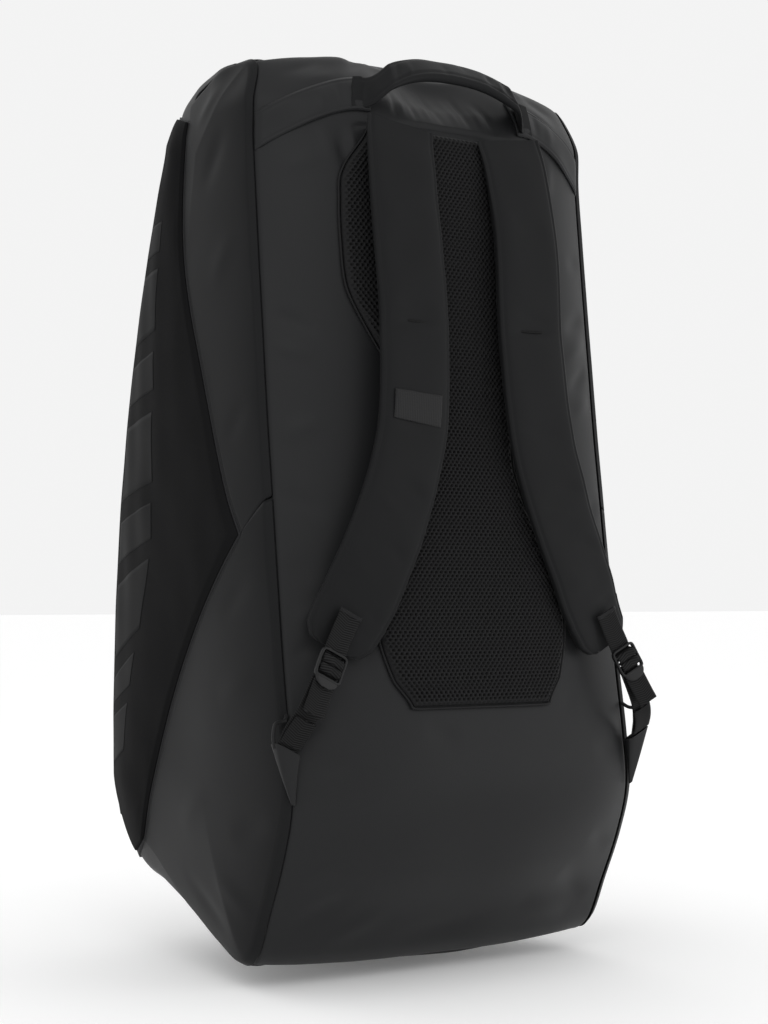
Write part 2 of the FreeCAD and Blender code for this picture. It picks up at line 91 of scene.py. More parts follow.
soft_light("key", (-1.3, -2.1, 2.1), 1.6, 9)
soft_light("fill", (1.8, -2.1, 0.9), 1.6, 7)
soft_light("back", (-1.1, 1.9, 2.2), 1.4, 4)

floor_mesh = bpy.data.meshes.new("floor")
floor_mesh.from_pydata([(-30, -30, 0), (30, -30, 0), (30, 30, 0), (-30, 30, 0)], [], [(0, 1, 2, 3)])
floor = link("floor", floor_mesh)
floor_paint = bpy.data.materials.new("floor_paint")
floor_paint.use_nodes = True
for socket, value in (("Base Color", (0.985, 0.985, 0.985, 1)), ("Roughness", 0.9),
                      ("Emission Color", (1, 1, 1, 1)), ("Emission Strength", 0.11)):
    floor_paint.node_tree.nodes["Principled BSDF"].inputs[socket].default_value = value
floor_mesh.materials.append(floor_paint)

# ---- Back panel ----------------------------------------------------------------------------------
# One large panel of coated polyester over thin foam, sewn to the side panels down both long seams.
# It is pillowed, dented under the handle, and creased where the seams and the yoke pull on it.
MID_Y = 17.7
WALL_X, WALL_T, JOINT_GAP = 164.0, 4.0, 0.8
ARC_Y, ARC_Z, ARC_R = -929.5, 227.3, 1105.0
ARC_STOPS = np.array((195, 240, 310, 385, 455, 525, 590, 645, 690), float)
OUTLINE = np.array(
    [(-49, 748.5), (-62, 717), (-63, 680), (-68, 630), (-74, 575), (-81, 515), (-88, 455), (-97, 390),
     (-106, 325), (-116, 255), (-126, 195), (-130, 150), (-117, 108), (-96, 65), (-77, 29),
     (-55, 19), (-15, 31), (36, 51), (88, 66), (138, 81), (170, 132)]
    + [(ARC_Y + np.sqrt(ARC_R ** 2 - (z - ARC_Z) ** 2), z) for z in ARC_STOPS]
    + [(61, 728), (32, 743), (0, 748.5), (-25, 751)], float)
COUNT = len(OUTLINE)
SWELL = np.array([18, 34, 40, 41, 39, 36.5, 34, 32, 29, 28, 28, 29, 26, 16, 9, 9, 19, 54, 50, 38,
                  28, 22] + [20] * 9 + [14, 14, 15], float)
BACK_RUN = (0.25, 14.0)
BACK_TOP = -0.12       # the cloth goes just over the bag's top edge
HANDLE_DENT, DENT_HALF_X = 24.0, 86.0
CORNER_DRAW, CORNER_FROM = 0.06, (-8.0, 708.0)     # share drawn in, and the (y, z) it starts from


def cubic(a, b, c, d, f):
    """Catmull-Rom interpolation between b and c."""
    return 0.5 * (2 * b + (c - a) * f + (2 * a - 5 * b + 4 * c - d) * f ** 2
                  + (3 * b - a - 3 * c + d) * f ** 3)


def closed(values, s):
    """A closed list read smoothly at the real index s."""
    i = np.floor(s).astype(int)
    near = [values[(i + k) % COUNT] for k in (-1, 0, 1, 2)]
    f = s - i
    return cubic(*near, f if values.ndim == 1 else f[..., None])


def seam(s):
    """Outline point and outward normal at s: the normal is the slope turned a quarter turn."""
    s = np.asarray(s, float)
    slope = closed(OUTLINE, s + 0.01) - closed(OUTLINE, s - 0.01)
    slope /= np.linalg.norm(slope, axis=-1, keepdims=True)
    return closed(OUTLINE, s), np.stack([slope[..., 1], -slope[..., 0]], -1)


def bump(t):
    """1 at the middle, falling smoothly to 0 at t = -1 and 1."""
    return np.clip(1 - np.asarray(t) ** 2, 0, None) ** 2


def shell(s, x, half, lift=0.0):
    """Pillow surface: outline plus swell, which fades with the cube of x, plus lift."""
    s, x, lift = np.broadcast_arrays(np.asarray(s, float), np.asarray(x, float), lift)
    point, normal = seam(s)
    swell = closed(SWELL, s) * (1 - np.minimum(np.abs(x) / half, 1) ** 3)
    turn = np.where(s < COUNT / 2, s, s - COUNT)
    swell = swell - HANDLE_DENT * bump((turn - 0.55) / 1.2) * bump(x / DENT_HALF_X) + lift
    flat = point + normal * swell[..., None]
    return np.stack([x, flat[..., 0], flat[..., 1]], -1)


def on_back(x, z, lift=0.0):
    """The point of the back panel at (x, z), raised by lift, found by halving the run."""
    x, z, lift = np.broadcast_arrays(np.asarray(x, float), np.asarray(z, float), lift)
    low, high = np.full(x.shape, BACK_RUN[0]), np.full(x.shape, BACK_RUN[1])
    for _ in range(26):
        middle = (low + high) / 2
        above = shell(middle, x, WALL_X, lift)[..., 2] > z
        low, high = np.where(above, middle, low), np.where(above, high, middle)
    return shell(low, x, WALL_X, lift)


def ripple(u, v, seed, reach=70.0):
    """Slow unevenness of slack cloth, about 1 high: seven sine waves in seeded directions."""
    rng = np.random.default_rng(seed)
    total = 0.0
    for _ in range(7):
        angle, phase = rng.uniform(0, np.pi), rng.uniform(0, 6.28)
        length = reach * rng.uniform(0.5, 1.6)
        total = total + np.sin((u * np.cos(angle) + v * np.sin(angle)) * 6.28 / length + phase)
    return total / 2.6


def folds(u, v, marks):
    """Ridges and creases (u0, v0, u1, v1, width, height): a bell across each line that fades
    to both of its ends, added together."""
    total = 0.0
    for u0, v0, u1, v1, width, height in marks:
        du, dv = u1 - u0, v1 - v0
        size = np.hypot(du, dv)
        f = ((u - u0) * du + (v - v0) * dv) / size ** 2
        away = ((u - u0) * dv - (v - v0) * du) / size
        total = total + height * np.exp(-(away / width) ** 2) * bump(2 * f - 1)
    return total


def step(t):
    """0 below t = 0, 1 above t = 1, and a smooth rise between."""
    t = np.clip(t, 0, 1)
    return t * t * (3 - 2 * t)


def near_edge(distance, width):
    """1 on an edge, falling off as a bell within width of it."""
    return np.exp(-(np.asarray(distance) / width) ** 2)


def fine_ends(low, high, count, near=(0.5, 1.2, 2.2, 3.6)):
    """Even steps from low to high with extra values close to both ends, for the rolled edges."""
    near = np.array(near) * np.sign(high - low)
    return np.sort(np.concatenate([np.linspace(low, high, count), low + near, high - near]))


def grid_faces(rows, cols, around=False, start=0):
    """Quads joining the neighbours of a grid; around joins its last column to its first."""
    r, c = np.meshgrid(np.arange(rows - 1), np.arange(cols if around else cols - 1), indexing="ij")
    a, b = r * cols + c, r * cols + (c + 1) % cols
    return np.stack([a, b, b + cols, a + cols], -1).reshape(-1, 4) + start


def slab(outer, inner):
    """Two grids joined round their border into one closed skin."""
    rows, cols = outer.shape[:2]
    size = rows * cols
    index = np.arange(size).reshape(rows, cols)
    rim = np.concatenate([index[0, :-1], index[:-1, -1], index[-1, :0:-1], index[:0:-1, 0]])
    after = np.roll(rim, -1)
    faces = [grid_faces(rows, cols), grid_faces(rows, cols, start=size)[:, ::-1],
             np.stack([after, rim, rim + size, after + size], -1)]
    return np.concatenate([outer.reshape(-1, 3), inner.reshape(-1, 3)]), np.concatenate(faces)


def put(name, skin, paint, nodes=(), attributes=None):
    """Makes the piece: the bag's two top back corners drawn in a little, drawing points to metres,
    and faces turned outwards by the sign of the volume."""
    points, faces = skin
    high = step((points[:, 2] - CORNER_FROM[1]) / 42) * step((CORNER_FROM[0] - points[:, 1]) / 40)
    points = points * (1 - CORNER_DRAW * high[:, None] * (1, 0, 0))
    points = (points - (0, MID_Y, 0)) / 1000
    a, b, c, d = (points[faces[:, k]] for k in range(4))
    volume = (a * (np.cross(b, c) + np.cross(c, d))).sum()
    faces = faces if volume > 0 else faces[:, ::-1]
    mesh = bpy.data.meshes.new(name)
    mesh.vertices.add(len(points))
    mesh.vertices.foreach_set("co", points.astype(np.float32).ravel())
    mesh.loops.add(4 * len(faces))
    mesh.loops.foreach_set("vertex_index", faces.astype(np.int32).ravel())
    mesh.polygons.add(len(faces))
    mesh.polygons.foreach_set("loop_start", np.arange(0, 4 * len(faces), 4, dtype=np.int32))
    mesh.update(calc_edges=True)
    mesh.polygons.foreach_set("use_smooth", np.ones(len(faces), bool))
    for label, values in (attributes or {}).items():
        field = mesh.attributes.new(label, "FLOAT", "POINT")
        field.data.foreach_set("value", values.astype(np.float32).ravel())
    mesh.materials.append(paint)
    made = link(name, mesh)
    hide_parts(*nodes)
    return made


def cloth(name, colour, roughness, grain_mm, depth_mm, mottle=0.10, sheen=0.02, woven_mm=0.0,
          gloss=0.18):
    """Cloth paint: slow noise shifts colour and roughness a little, fast noise of grain_mm raises
    the grain, and woven_mm adds two crossed sets of threads, about three times it apart."""
    paint = bpy.data.materials.new(name)
    paint.use_nodes = True
    nodes, links = paint.node_tree.nodes, paint.node_tree.links
    shader = nodes["Principled BSDF"]
    shader.inputs["Sheen Weight"].default_value = sheen
    shader.inputs["Specular IOR Level"].default_value = gloss
    shader.inputs["Sheen Roughness"].default_value = 0.4
    place = nodes.new("ShaderNodeTexCoord").outputs["Object"]
    slow, fast = nodes.new("ShaderNodeTexNoise"), nodes.new("ShaderNodeTexNoise")
    for noise, scale, detail in ((slow, 14.0, 5.0), (fast, 1000.0 / grain_mm, 2.0)):
        noise.inputs["Scale"].default_value = scale
        noise.inputs["Detail"].default_value = detail
        links.new(place, noise.inputs["Vector"])
    shade = nodes.new("ShaderNodeMix")
    shade.data_type = "RGBA"
    shade.inputs[6].default_value = (*(v * (1 - mottle) for v in colour), 1)
    shade.inputs[7].default_value = (*(v * (1 + mottle) for v in colour), 1)
    links.new(slow.outputs["Fac"], shade.inputs[0])
    links.new(shade.outputs[2], shader.inputs["Base Color"])
    drift = nodes.new("ShaderNodeMapRange")
    drift.inputs["To Min"].default_value = roughness - 0.06
    drift.inputs["To Max"].default_value = roughness + 0.06
    links.new(slow.outputs["Fac"], drift.inputs["Value"])
    links.new(drift.outputs["Result"], shader.inputs["Roughness"])
    height = fast.outputs["Fac"]
    if woven_mm:
        for direction in ("X", "Z"):
            threads = nodes.new("ShaderNodeTexWave")
            threads.bands_direction = direction
            threads.inputs["Scale"].default_value = 100.0 / woven_mm
            links.new(place, threads.inputs["Vector"])
            added = nodes.new("ShaderNodeMath")
            added.operation = "ADD"
            links.new(height, added.inputs[0])
            links.new(threads.outputs["Fac"], added.inputs[1])
            height = added.outputs[0]
    relief = nodes.new("ShaderNodeBump")
    relief.inputs["Strength"].default_value = 0.8
    relief.inputs["Distance"].default_value = depth_mm / 1000
    links.new(height, relief.inputs["Height"])
    links.new(relief.outputs["Normal"], shader.inputs["Normal"])
    return paint


coated = cloth("coated_fabric", (0.0115, 0.0118, 0.0125), 0.46, 0.9, 0.10)
# The same coated cloth, darker, for the side walls, the straps and the handle: painted shade.
coated_shaded = cloth("coated_fabric_shaded", (0.0082, 0.0084, 0.0089), 0.50, 0.9, 0.10, gloss=0.10)

# The straps and the mesh come out from under the yoke along this curved seam.
YOKE_SEAM_Z, YOKE_RISE, YOKE_HALF = 699.0, 2.6, 98.0
BACK_FOLDS = [
    # under the handle
    (-50, 702, -42, 740, 2.6, -1.5), (-40, 704, -36, 736, 2.2, 0.8), (-27, 702, -25, 742, 2.6, -1.6),
    (-12, 704, -13, 738, 2.2, 0.9), (1, 702, -2, 742, 2.4, -1.4), (15, 703, 17, 740, 2.4, 0.9),
    (27, 702, 28, 744, 2.6, -1.7), (41, 702, 38, 738, 2.4, 0.9), (52, 700, 45, 738, 2.6, -1.4),
    # over the band, towards the top corners
    (-150, 735, -100, 757, 5, -1.4), (-138, 728, -92, 742, 5, 1.2), (-95, 738, -60, 768, 6, -2.2),
    (-118, 752, -70, 764, 5, 1.4), (95, 738, 60, 768, 6, -2.2), (118, 748, 70, 764, 5, 1.4),
    (150, 735, 100, 752, 5, -1.4), (140, 722, 96, 742, 5, 1.2),
    # below the band, at the mouth of the straps
    (-104, 704, -92, 640, 6, -2.0), (-116, 700, -106, 655, 6, 1.2), (-92, 700, -88, 668, 4, 1.2),
    (104, 704, 94, 640, 6, -2.0), (118, 700, 108, 650, 6, 1.2), (-150, 655, -112, 668, 7, 0.8),
    # down the long seams
    (-162, 540, -122, 520, 5, -1.3), (-162, 512, -126, 500, 5, 1.0), (-162, 436, -118, 452, 7, 1.2),
    (-162, 398, -124, 372, 6, -1.3), (-162, 282, -122, 312, 7, 1.1), (-162, 262, -124, 286, 5, -1.3),
    (-90, 300, -104, 246, 7, -1.2), (84, 210, 104, 246, 8, -1.2), (-60, 208, -20, 196, 9, -0.9),
    (161, 560, 118, 540, 7, -2.0),
    (161, 540, 112, 512, 7, 1.8), (161, 516, 120, 486, 6, -2.0), (161, 486, 124, 470, 7, 1.4),
    (161, 610, 130, 600, 8, -1.0), (161, 396, 126, 372, 8, -1.2), (-161, 340, -128, 322, 10, -0.9),
    # where the anchor tabs pull
    (-160, 196, -120, 214, 7, 1.2), (-161, 178, -112, 184, 8, -1.2), (160, 196, 120, 214, 7, 1.4),
    (161, 178, 112, 184, 8, -1.4),
    # bottom corners
    (-150, 52, -96, 78, 9, -1.8), (-120, 38, -60, 60, 9, 1.4), (150, 52, 96, 82, 9, -2.0),
    (130, 40, 66, 58, 9, 1.6), (-60, 34, 50, 48, 10, -1.2), (-156, 92, -118, 104, 9, 1.0),
    (156, 96, 118, 112, 9, -1.0),
]


def yoke_seam(x):
    """Height of the curved seam above the straps."""
    return YOKE_SEAM_Z + 3.0 * bump(x / 90.0) - 0.0016 * np.clip(np.abs(x) - 30, 0, None) ** 2


def back_relief(x, z):
    """Lift of the back panel: slack, folds, the yoke's step and the rolled edges."""
    lift = 0.38 * ripple(x, z, 4, 110) + folds(x, z, BACK_FOLDS)
    above = np.clip((z - yoke_seam(x)) / 1.6, -1, 1)
    lift += YOKE_RISE * (0.5 + 0.5 * above) * bump(x / YOKE_HALF) * (z < 760)
    lift -= 1.4 * near_edge(z - yoke_seam(x), 1.3) * (np.abs(x) < 90)
    return lift


back_half = WALL_X - JOINT_GAP
BACK_END = 14.6        # the cloth turns under the bag before its bottom seam
s = fine_ends(BACK_TOP, BACK_END, 258, (0.012, 0.03, 0.06))[:, None]
x = fine_ends(-back_half, back_half, 150)[None, :]
base = shell(s, x, WALL_X)
edge = near_edge(back_half - np.abs(x), 1.2) + 0.0 * s
ends = near_edge((s - BACK_TOP) * 25, 1.7) + near_edge((BACK_END - s) * 25, 1.7)
calm = 1 - near_edge(back_half - np.abs(x), 7.0)
lift = back_relief(base[..., 0], base[..., 2]) * calm - 1.4 * np.maximum(edge, ends)
back_panel = put("back_panel_fabric", slab(shell(s, x, WALL_X, lift), shell(s, x, WALL_X, -WALL_T)),
                 coated, ["back_panel"])
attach(back_panel, "bag")

# ---- Air mesh pad --------------------------------------------------------------------------------
# An hourglass of spacer mesh over foam for the wearer's back. Its face is a net of small staggered
# holes, and a piped edge is sewn round it.
MESH_T, MESH_GAP = 6.5, 1.0
MESH_HALF = np.array([(225, 66), (245, 80), (281, 90), (318, 87), (352, 72), (385, 56), (420, 45),
                      (460, 50), (500, 70), (530, 88), (559, 101), (595, 104), (630, 104), (656, 100),
                      (694, 76)], float)
MESH_RIGHT = 100.0      # the right side is cut a little narrower
HOLE_ACROSS, HOLE_UP, HOLE_DEPTH = 4.3, 5.6, 1.8


def mesh_half(z):
    """Half width of the pad at height z, smooth through the table."""
    z = np.clip(z, MESH_HALF[0, 0], MESH_HALF[-1, 0])
    last = len(MESH_HALF) - 1
    i = np.clip(np.searchsorted(MESH_HALF[:, 0], z, side="left") - 1, 0, last - 1)
    f = (z - MESH_HALF[i, 0]) / (MESH_HALF[i + 1, 0] - MESH_HALF[i, 0])
    return cubic(*[MESH_HALF[np.clip(i + k, 0, last), 1] for k in (-1, 0, 1, 2)], f)


def holes(x, z):
    """1 in each hole and 0 on the net: three sets of waves that meet on a staggered grid."""
    a, b = 2 * np.pi * x / HOLE_ACROSS, 2 * np.pi * z / HOLE_UP
    waves = np.cos(a + b) + np.cos(a - b) + np.cos(2 * b)
    return np.clip((waves + 0.35) / 1.7, 0, 1) ** 0.7


def net_paint():
    """Black spacer mesh: the hole attribute darkens the colour to near black in the holes, painted shade
    in their depth.
    """
    paint = cloth("air_mesh", (0.0110, 0.0110, 0.0115), 0.60, 0.4, 0.15, gloss=0.10)
    nodes, links = paint.node_tree.nodes, paint.node_tree.links
    depth = nodes.new("ShaderNodeAttribute")
    depth.attribute_name = "hole"
    hole_shade = nodes.new("ShaderNodeMix")
    hole_shade.data_type = "RGBA"
    # Near black in the holes: painted shade.
    hole_shade.inputs[7].default_value = (0.0006, 0.0006, 0.0006, 1)
    shader = nodes["Principled BSDF"]
    links.new(shader.inputs["Base Color"].links[0].from_socket, hole_shade.inputs[6])
    links.new(depth.outputs["Fac"], hole_shade.inputs[0])
    links.new(hole_shade.outputs[2], shader.inputs["Base Color"])
    return paint


mesh_paint = net_paint()
z = np.linspace(MESH_HALF[0, 0], MESH_HALF[-1, 0], 475)[:, None]
t = fine_ends(-1, 1, 236, (0.01, 0.03, 0.06))[None, :]
x = np.where(t > 0, np.minimum(mesh_half(z), MESH_RIGHT), mesh_half(z)) * t
inset = np.minimum((1 - np.abs(t)) * mesh_half(z), np.minimum(z - 225, 694.5 - z) + 0 * t)
crown = 1 - np.exp(-inset / 3.0)
hole = holes(x, z + 0 * x) * np.clip(inset / 5, 0, 1)
top = on_back(x, z, MESH_GAP + 1.6 + (MESH_T - 1.6) * crown + 0.5 * ripple(x, z, 9, 60) * crown)
top[..., 1] += HOLE_DEPTH * hole
under = on_back(x, z, MESH_GAP)
mesh_pad = put("air_mesh_pad", slab(top, under), mesh_paint, ["back_mesh_pad"],
               {"hole": np.concatenate([hole.ravel(), 0 * hole.ravel()])})
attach(mesh_pad, "bag")

PIPE_R, PIPE_OUT = 1.1, 1.6
binding = cloth("binding", (0.005, 0.005, 0.0055), 0.50, 0.4, 0.12, sheen=0.02)


def tube(rings):
    """Closed rings of points joined along the path; each end closes flat across its ring."""
    rows, cols = rings.shape[:2]
    i = np.arange(cols // 2 - 1)
    cap = np.stack([i, i + 1, cols - i - 2, cols - i - 1], -1)
    faces = [grid_faces(rows, cols, around=True), cap, cap[:, ::-1] + (rows - 1) * cols]
    return rings.reshape(-1, 3), np.concatenate(faces)


def round_rings(path, radius, sides=10):
    """Circles of a radius round a path; the first side vector is square to path and Y."""
    run = np.gradient(path, axis=0)
    run /= np.linalg.norm(run, axis=1, keepdims=True)
    side = np.cross(run, (0.0, 1.0, 0.0))
    side /= np.linalg.norm(side, axis=1, keepdims=True)
    other = np.cross(run, side)
    angle = np.linspace(0, 2 * np.pi, sides, endpoint=False)[None, :, None]
    radius = np.broadcast_to(radius, len(path))[:, None, None]
    return path[:, None] + radius * (np.cos(angle) * side[:, None] + np.sin(angle) * other[:, None])


# The piping goes up one side, and a lower run closes it under the pad.
heights = np.linspace(MESH_HALF[0, 0], MESH_HALF[-1, 0], 150)
out = mesh_half(heights) + PIPE_OUT
turn = np.linspace(0, 1, 14)[1:-1]
corner_x = 66 + PIPE_OUT - 6 * turn ** 2
corner_z = 225 - 2.2 * np.sqrt(turn)
low_x = np.linspace(-corner_x[-1], corner_x[-1], 60)
out_right = np.minimum(out, MESH_RIGHT + PIPE_OUT)
pipe_x = np.concatenate([-out[::-1], -corner_x, low_x[1:-1], corner_x[::-1], out_right])
pipe_z = np.concatenate([heights[::-1], corner_z, np.full(58, corner_z[-1]), corner_z[::-1], heights])
piping = put("mesh_piping_cord", tube(round_rings(on_back(pipe_x, pipe_z, PIPE_R + MESH_GAP), PIPE_R)),
             binding, ["mesh_piping"])
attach(piping, "bag")

# ---- Yoke bands and grab handle ------------------------------------------------------------------
# A band of the same cloth crosses the top of the back, folded in at both edges and sewn down. In its
# middle it leaves the panel as a padded handle with a rolled lower edge.
BAND_X = (85.0, 163.1)
BAND_START = 74.0
BAND_GAP, BAND_T, BAND_H, BAND_INNER_Z, BAND_DROP = 0.9, 2.0, 31.0, 707.0, 37.0


def band_low(x):
    """Height of the band's lower edge, falling towards the side seam."""
    return BAND_INNER_Z - BAND_DROP * (np.clip(x - BAND_X[0], 0, None) / (WALL_X - BAND_X[0])) ** 1.5


SIDES = (("left", -1.0), ("right", 1.0))


def put_side(side, name, skin, paint, nodes=(), attributes=None):
    """The right-hand drawing, or its mirror image for the left; @ in a name stands for the side."""
    points, faces = skin
    return put(name.replace("@", side), (points * (dict(SIDES)[side], 1, 1), faces), paint,
               [node.replace("@", side) for node in nodes], attributes)


x = np.linspace(BAND_START, BAND_X[1], 66)[:, None]
f = fine_ends(0, 1, 26, (0.02, 0.05, 0.09))[None, :]
z = band_low(x) + f * BAND_H
roll = 1 - near_edge(np.minimum(f, 1 - f) * BAND_H, 1.3)
stitched = near_edge(np.abs(np.minimum(f, 1 - f) * BAND_H - 3.4), 0.8)
band_lift = BAND_GAP + BAND_T * (0.35 + 0.75 * roll) - 0.5 * stitched
band_lift = band_lift - 1.9 * near_edge(BAND_X[1] - x, 2.2)
band_lift = band_lift + 0.4 * ripple(x, z, 12, 40) + folds(x, z, [
    (95, 706, 104, 734, 4, -1.2), (112, 700, 118, 728, 5, 0.9), (86, 712, 92, 736, 3, 0.8)])
outer, inner = on_back(x + 0 * f, z, band_lift), on_back(x + 0 * f, z, 0.2)
for side, _ in SIDES:
    made = put_side(side, "yoke_band_fabric_@", slab(outer, inner), coated,
                    ["yoke_band_@"])
    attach(made, "bag")

HANDLE_HALF_X, HANDLE_Z, HANDLE_Y, HANDLE_LEAN = 83.5, (720.0, 749.5), -112.0, 10.0


def pad_rings(centre, across, face, half, thick, sides=48, flat=(0.55, 0.75), lift=None):
    """Rounded strap sections: cos and sin to a power stretched along across and face, the outer
    face through the centre, and lift added along the face on the outer side."""
    angle = np.linspace(0, 2 * np.pi, sides, endpoint=False)[None, :]
    c, s = np.cos(angle), np.sin(angle)
    u = half[:, None] * np.sign(c) * np.abs(c) ** flat[0]
    v = thick[:, None] / 2 * np.sign(s) * np.abs(s) ** flat[1]
    if lift is not None:
        v = v + lift(u) * np.clip(s * 2.5, 0, 1)
    return (centre[:, None] + across[:, None] * u[..., None]
            + face[:, None] * (v - thick[:, None] / 2)[..., None])


SEWN_X = 91.0           # the handle's ends are sewn flat over the band out to here
reach = SEWN_X * np.sin(np.radians(np.linspace(-90, 90, 170)))
rise = 1 - np.minimum(np.abs(reach) / HANDLE_HALF_X, 1) ** 2.6
tilt = np.radians(8 + 40 * rise)
zero = 0 * reach
free = np.stack([reach, HANDLE_Y + HANDLE_LEAN * rise,
                 HANDLE_Z[0] + (HANDLE_Z[1] - HANDLE_Z[0]) * rise], -1)
flat_on = on_back(reach, band_low(np.abs(reach)) + BAND_H / 2, 4.6) + (0.0, 4.0, 0.0)
sewn = step((np.abs(reach) - 64.0) / 18.0)[:, None]
centre = free * (1 - sewn) + flat_on * sewn
up = np.stack([zero, np.sin(tilt), np.cos(tilt)], -1)
outward = np.stack([zero, -np.cos(tilt), np.sin(tilt)], -1)
HANDLE_FOLDS = [(-60, -14, -54, 14, 3.5, -1.1), (-47, -13, -44, 10, 3.0, 0.8),
                (38, -12, 44, 14, 3.5, -1.3), (50, -14, 53, 12, 3.0, 1.0), (58, -12, 62, 14, 3.0, -1.2),
                (-10, -14, -4, 6, 4.0, -0.6), (14, 0, 18, 14, 3.5, -0.6)]
wide, deep = 15.0 - 1.5 * bump(rise - 0.4), 2.6 + 7.4 * rise ** 0.6


def handle_lift(u):
    """Creases across the handle, a sewn line near each edge and a rolled cord in the lower one."""
    lift = folds(centre[:, :1] + 0 * u, u, HANDLE_FOLDS)
    lift = lift - 0.9 * near_edge(u + wide[:, None] - 5.2, 0.9)
    lift = lift - 0.5 * near_edge(u - wide[:, None] + 3.6, 0.8)
    return (lift + 0.3 * ripple(centre[:, :1] + 0 * u, u, 21, 34)) * np.minimum(deep / 6.0, 1)[:, None]


handle = put("grab_handle_pad", tube(pad_rings(centre + outward * 4.0, up, outward, wide, deep,
                                               lift=handle_lift)), coated_shaded,
             ["grab_handle"])
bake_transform(handle)

# ---- Top, front and base panels ------------------------------------------------------------------
# The narrow panels between the two zips: coated cloth over the top and under the base, and
# ripstop with a fine raised grid down the front.
PANEL_X = 120.2
GRID_SCALE, GRID_FROM, GRID_RISE = 55.0, 0.86, 1.6     # the grid's threads are 5.7 mm apart


def ripstop_paint():
    """Ripstop: a raised square grid of thicker threads over a tight weave."""
    paint = cloth("ripstop", (0.016, 0.016, 0.0165), 0.50, 0.5, 0.10, sheen=0.03)
    nodes, links = paint.node_tree.nodes, paint.node_tree.links
    relief = next(n for n in nodes if n.type == "BUMP")
    height = relief.inputs["Height"].links[0].from_socket
    place = next(n for n in nodes if n.type == "TEX_COORD").outputs["Object"]
    for direction in ("X", "Z"):
        lines = nodes.new("ShaderNodeTexWave")
        lines.bands_direction, lines.wave_profile = direction, "SAW"
        lines.inputs["Scale"].default_value = GRID_SCALE
        links.new(place, lines.inputs["Vector"])
        thick = nodes.new("ShaderNodeMath")
        thick.operation = "GREATER_THAN"
        thick.inputs[1].default_value = GRID_FROM
        links.new(lines.outputs["Fac"], thick.inputs[0])
        added = nodes.new("ShaderNodeMath")
        added.operation = "MULTIPLY_ADD"
        added.inputs[1].default_value = GRID_RISE
        links.new(thick.outputs[0], added.inputs[0])
        links.new(height, added.inputs[2])
        height = added.outputs[0]
    links.new(height, relief.inputs["Height"])
    return paint


ripstop = ripstop_paint()


def narrow_panel(name, node, run, rows, paint, thick=WALL_T, marks=(), seed=1):
    """A pillow panel between the zips over a run of the outline, with rolled edges."""
    s = fine_ends(run[0], run[1], rows, (0.01, 0.025, 0.05))[:, None]
    x = fine_ends(-PANEL_X, PANEL_X, 70)[None, :]
    lift = 0.6 * ripple(x, s * 45, seed, 80) + folds(x + 0 * s, s + 0 * x, marks)
    edge = np.maximum(near_edge(PANEL_X - np.abs(x), 1.7),
                      near_edge(np.minimum(s - run[0], run[1] - s) * 30, 1.7))
    lift = lift * (1 - near_edge(PANEL_X - np.abs(x), 9.0)) - 1.8 * edge
    outer, inner = shell(s, x, PANEL_X, lift), shell(s, x, PANEL_X, -thick)
    outer[..., 2], inner[..., 2] = np.clip(outer[..., 2], 0, None), np.clip(inner[..., 2], 1.0, None)
    made = put(name, slab(outer, inner), paint, [node])
    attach(made, "bag")


narrow_panel("top_panel_fabric", "top_panel", (29.42, COUNT - 0.14), 60, coated,
             marks=[(-100, 31.0, -40, 33.4, 7, -1.6), (20, 30.6, 90, 33.0, 7, 1.4)], seed=3)
narrow_panel("front_panel_fabric", "front_panel", (20.52, 29.4), 120, ripstop, seed=5)
narrow_panel("base_panel_fabric", "base_panel", (14.63, 20.5), 90, coated, thick=5.0,
             seed=7)

# ---- Zips ----------------------------------------------------------------------------------------
# Nylon coil zips: two woven tapes with a moulded coil on each, the coils' turns meshed with each
# other. The main pair runs over the top, down the front and under the base.
TAPE_T, TAPE_IN = 1.6, 0.3          # the tape's thickness, and how far below the outline it lies
COIL_PITCH, COIL_X, COIL_R, COIL_OUT = 2.0, (132.35, 134.25), 0.85, -0.2
ZIP_RUN = (14.66, COUNT - 0.16)
INNER_TAPE, OUTER_TAPE, STRIP = (120.6, 132.1), (134.5, 146.0), (146.2, 163.7)
tape_cloth = cloth("zip_tape", (0.005, 0.005, 0.0055), 0.68, 0.4, 0.12, woven_mm=0.9, sheen=0.02)
coil_paint = cloth("zip_coil", (0.009, 0.009, 0.0095), 0.36, 0.3, 0.05, sheen=0.0)


def strip_skin(run, x_range, near, far, rows, cols, crown=0.0):
    """A strip along the outline between two offsets and two widths, crowned across."""
    s = np.linspace(*run, rows)
    point, normal = seam(s)
    x = fine_ends(*sorted(x_range), cols, (0.35,))
    across = (2 * (x - x[0]) / (x[-1] - x[0]) - 1)[None, :]
    top = far - 0.5 * (near_edge(1 - np.abs(across), 0.08)) + crown * (1 - across ** 2)

    def at(offset):
        """The strip's grid at a height off the outline: the outline moved out by it along its normal."""
        flat = point[:, None] + normal[:, None] * (offset + 0 * across)[..., None]
        return np.stack([np.broadcast_to(x, flat.shape[:2]), flat[..., 0], flat[..., 1]], -1)
    return at(top + 0 * s[:, None]), at(near + 0 * across + 0 * s[:, None])


def coil_skin(run, x_mid, offset, radius, phase):
    """A bead that swells once per pitch along the outline, for the turns of a coil."""
    s = np.linspace(*run, 3000)
    point, normal = seam(s)
    length = np.concatenate([[0], np.cumsum(np.linalg.norm(np.diff(point, axis=0), axis=1))])
    even = np.interp(np.arange(0, length[-1], COIL_PITCH / 3), length, s)
    point, normal = seam(even)
    flat = point + normal * offset
    path = np.stack([np.full(len(even), x_mid), flat[:, 0], flat[:, 1]], -1)
    beat = np.cos(2 * np.pi * (np.arange(len(even)) / 3.0 + phase))
    angle = np.linspace(0, 2 * np.pi, 6, endpoint=False)[None, :, None]
    out = np.stack([0 * normal[:, 0], normal[:, 0], normal[:, 1]], -1)[:, None]
    size = (radius * (1 + 0.22 * beat))[:, None, None]
    return tube(path[:, None] + size * (np.cos(angle) * (1.0, 0, 0) * 1.2 + np.sin(angle) * out))


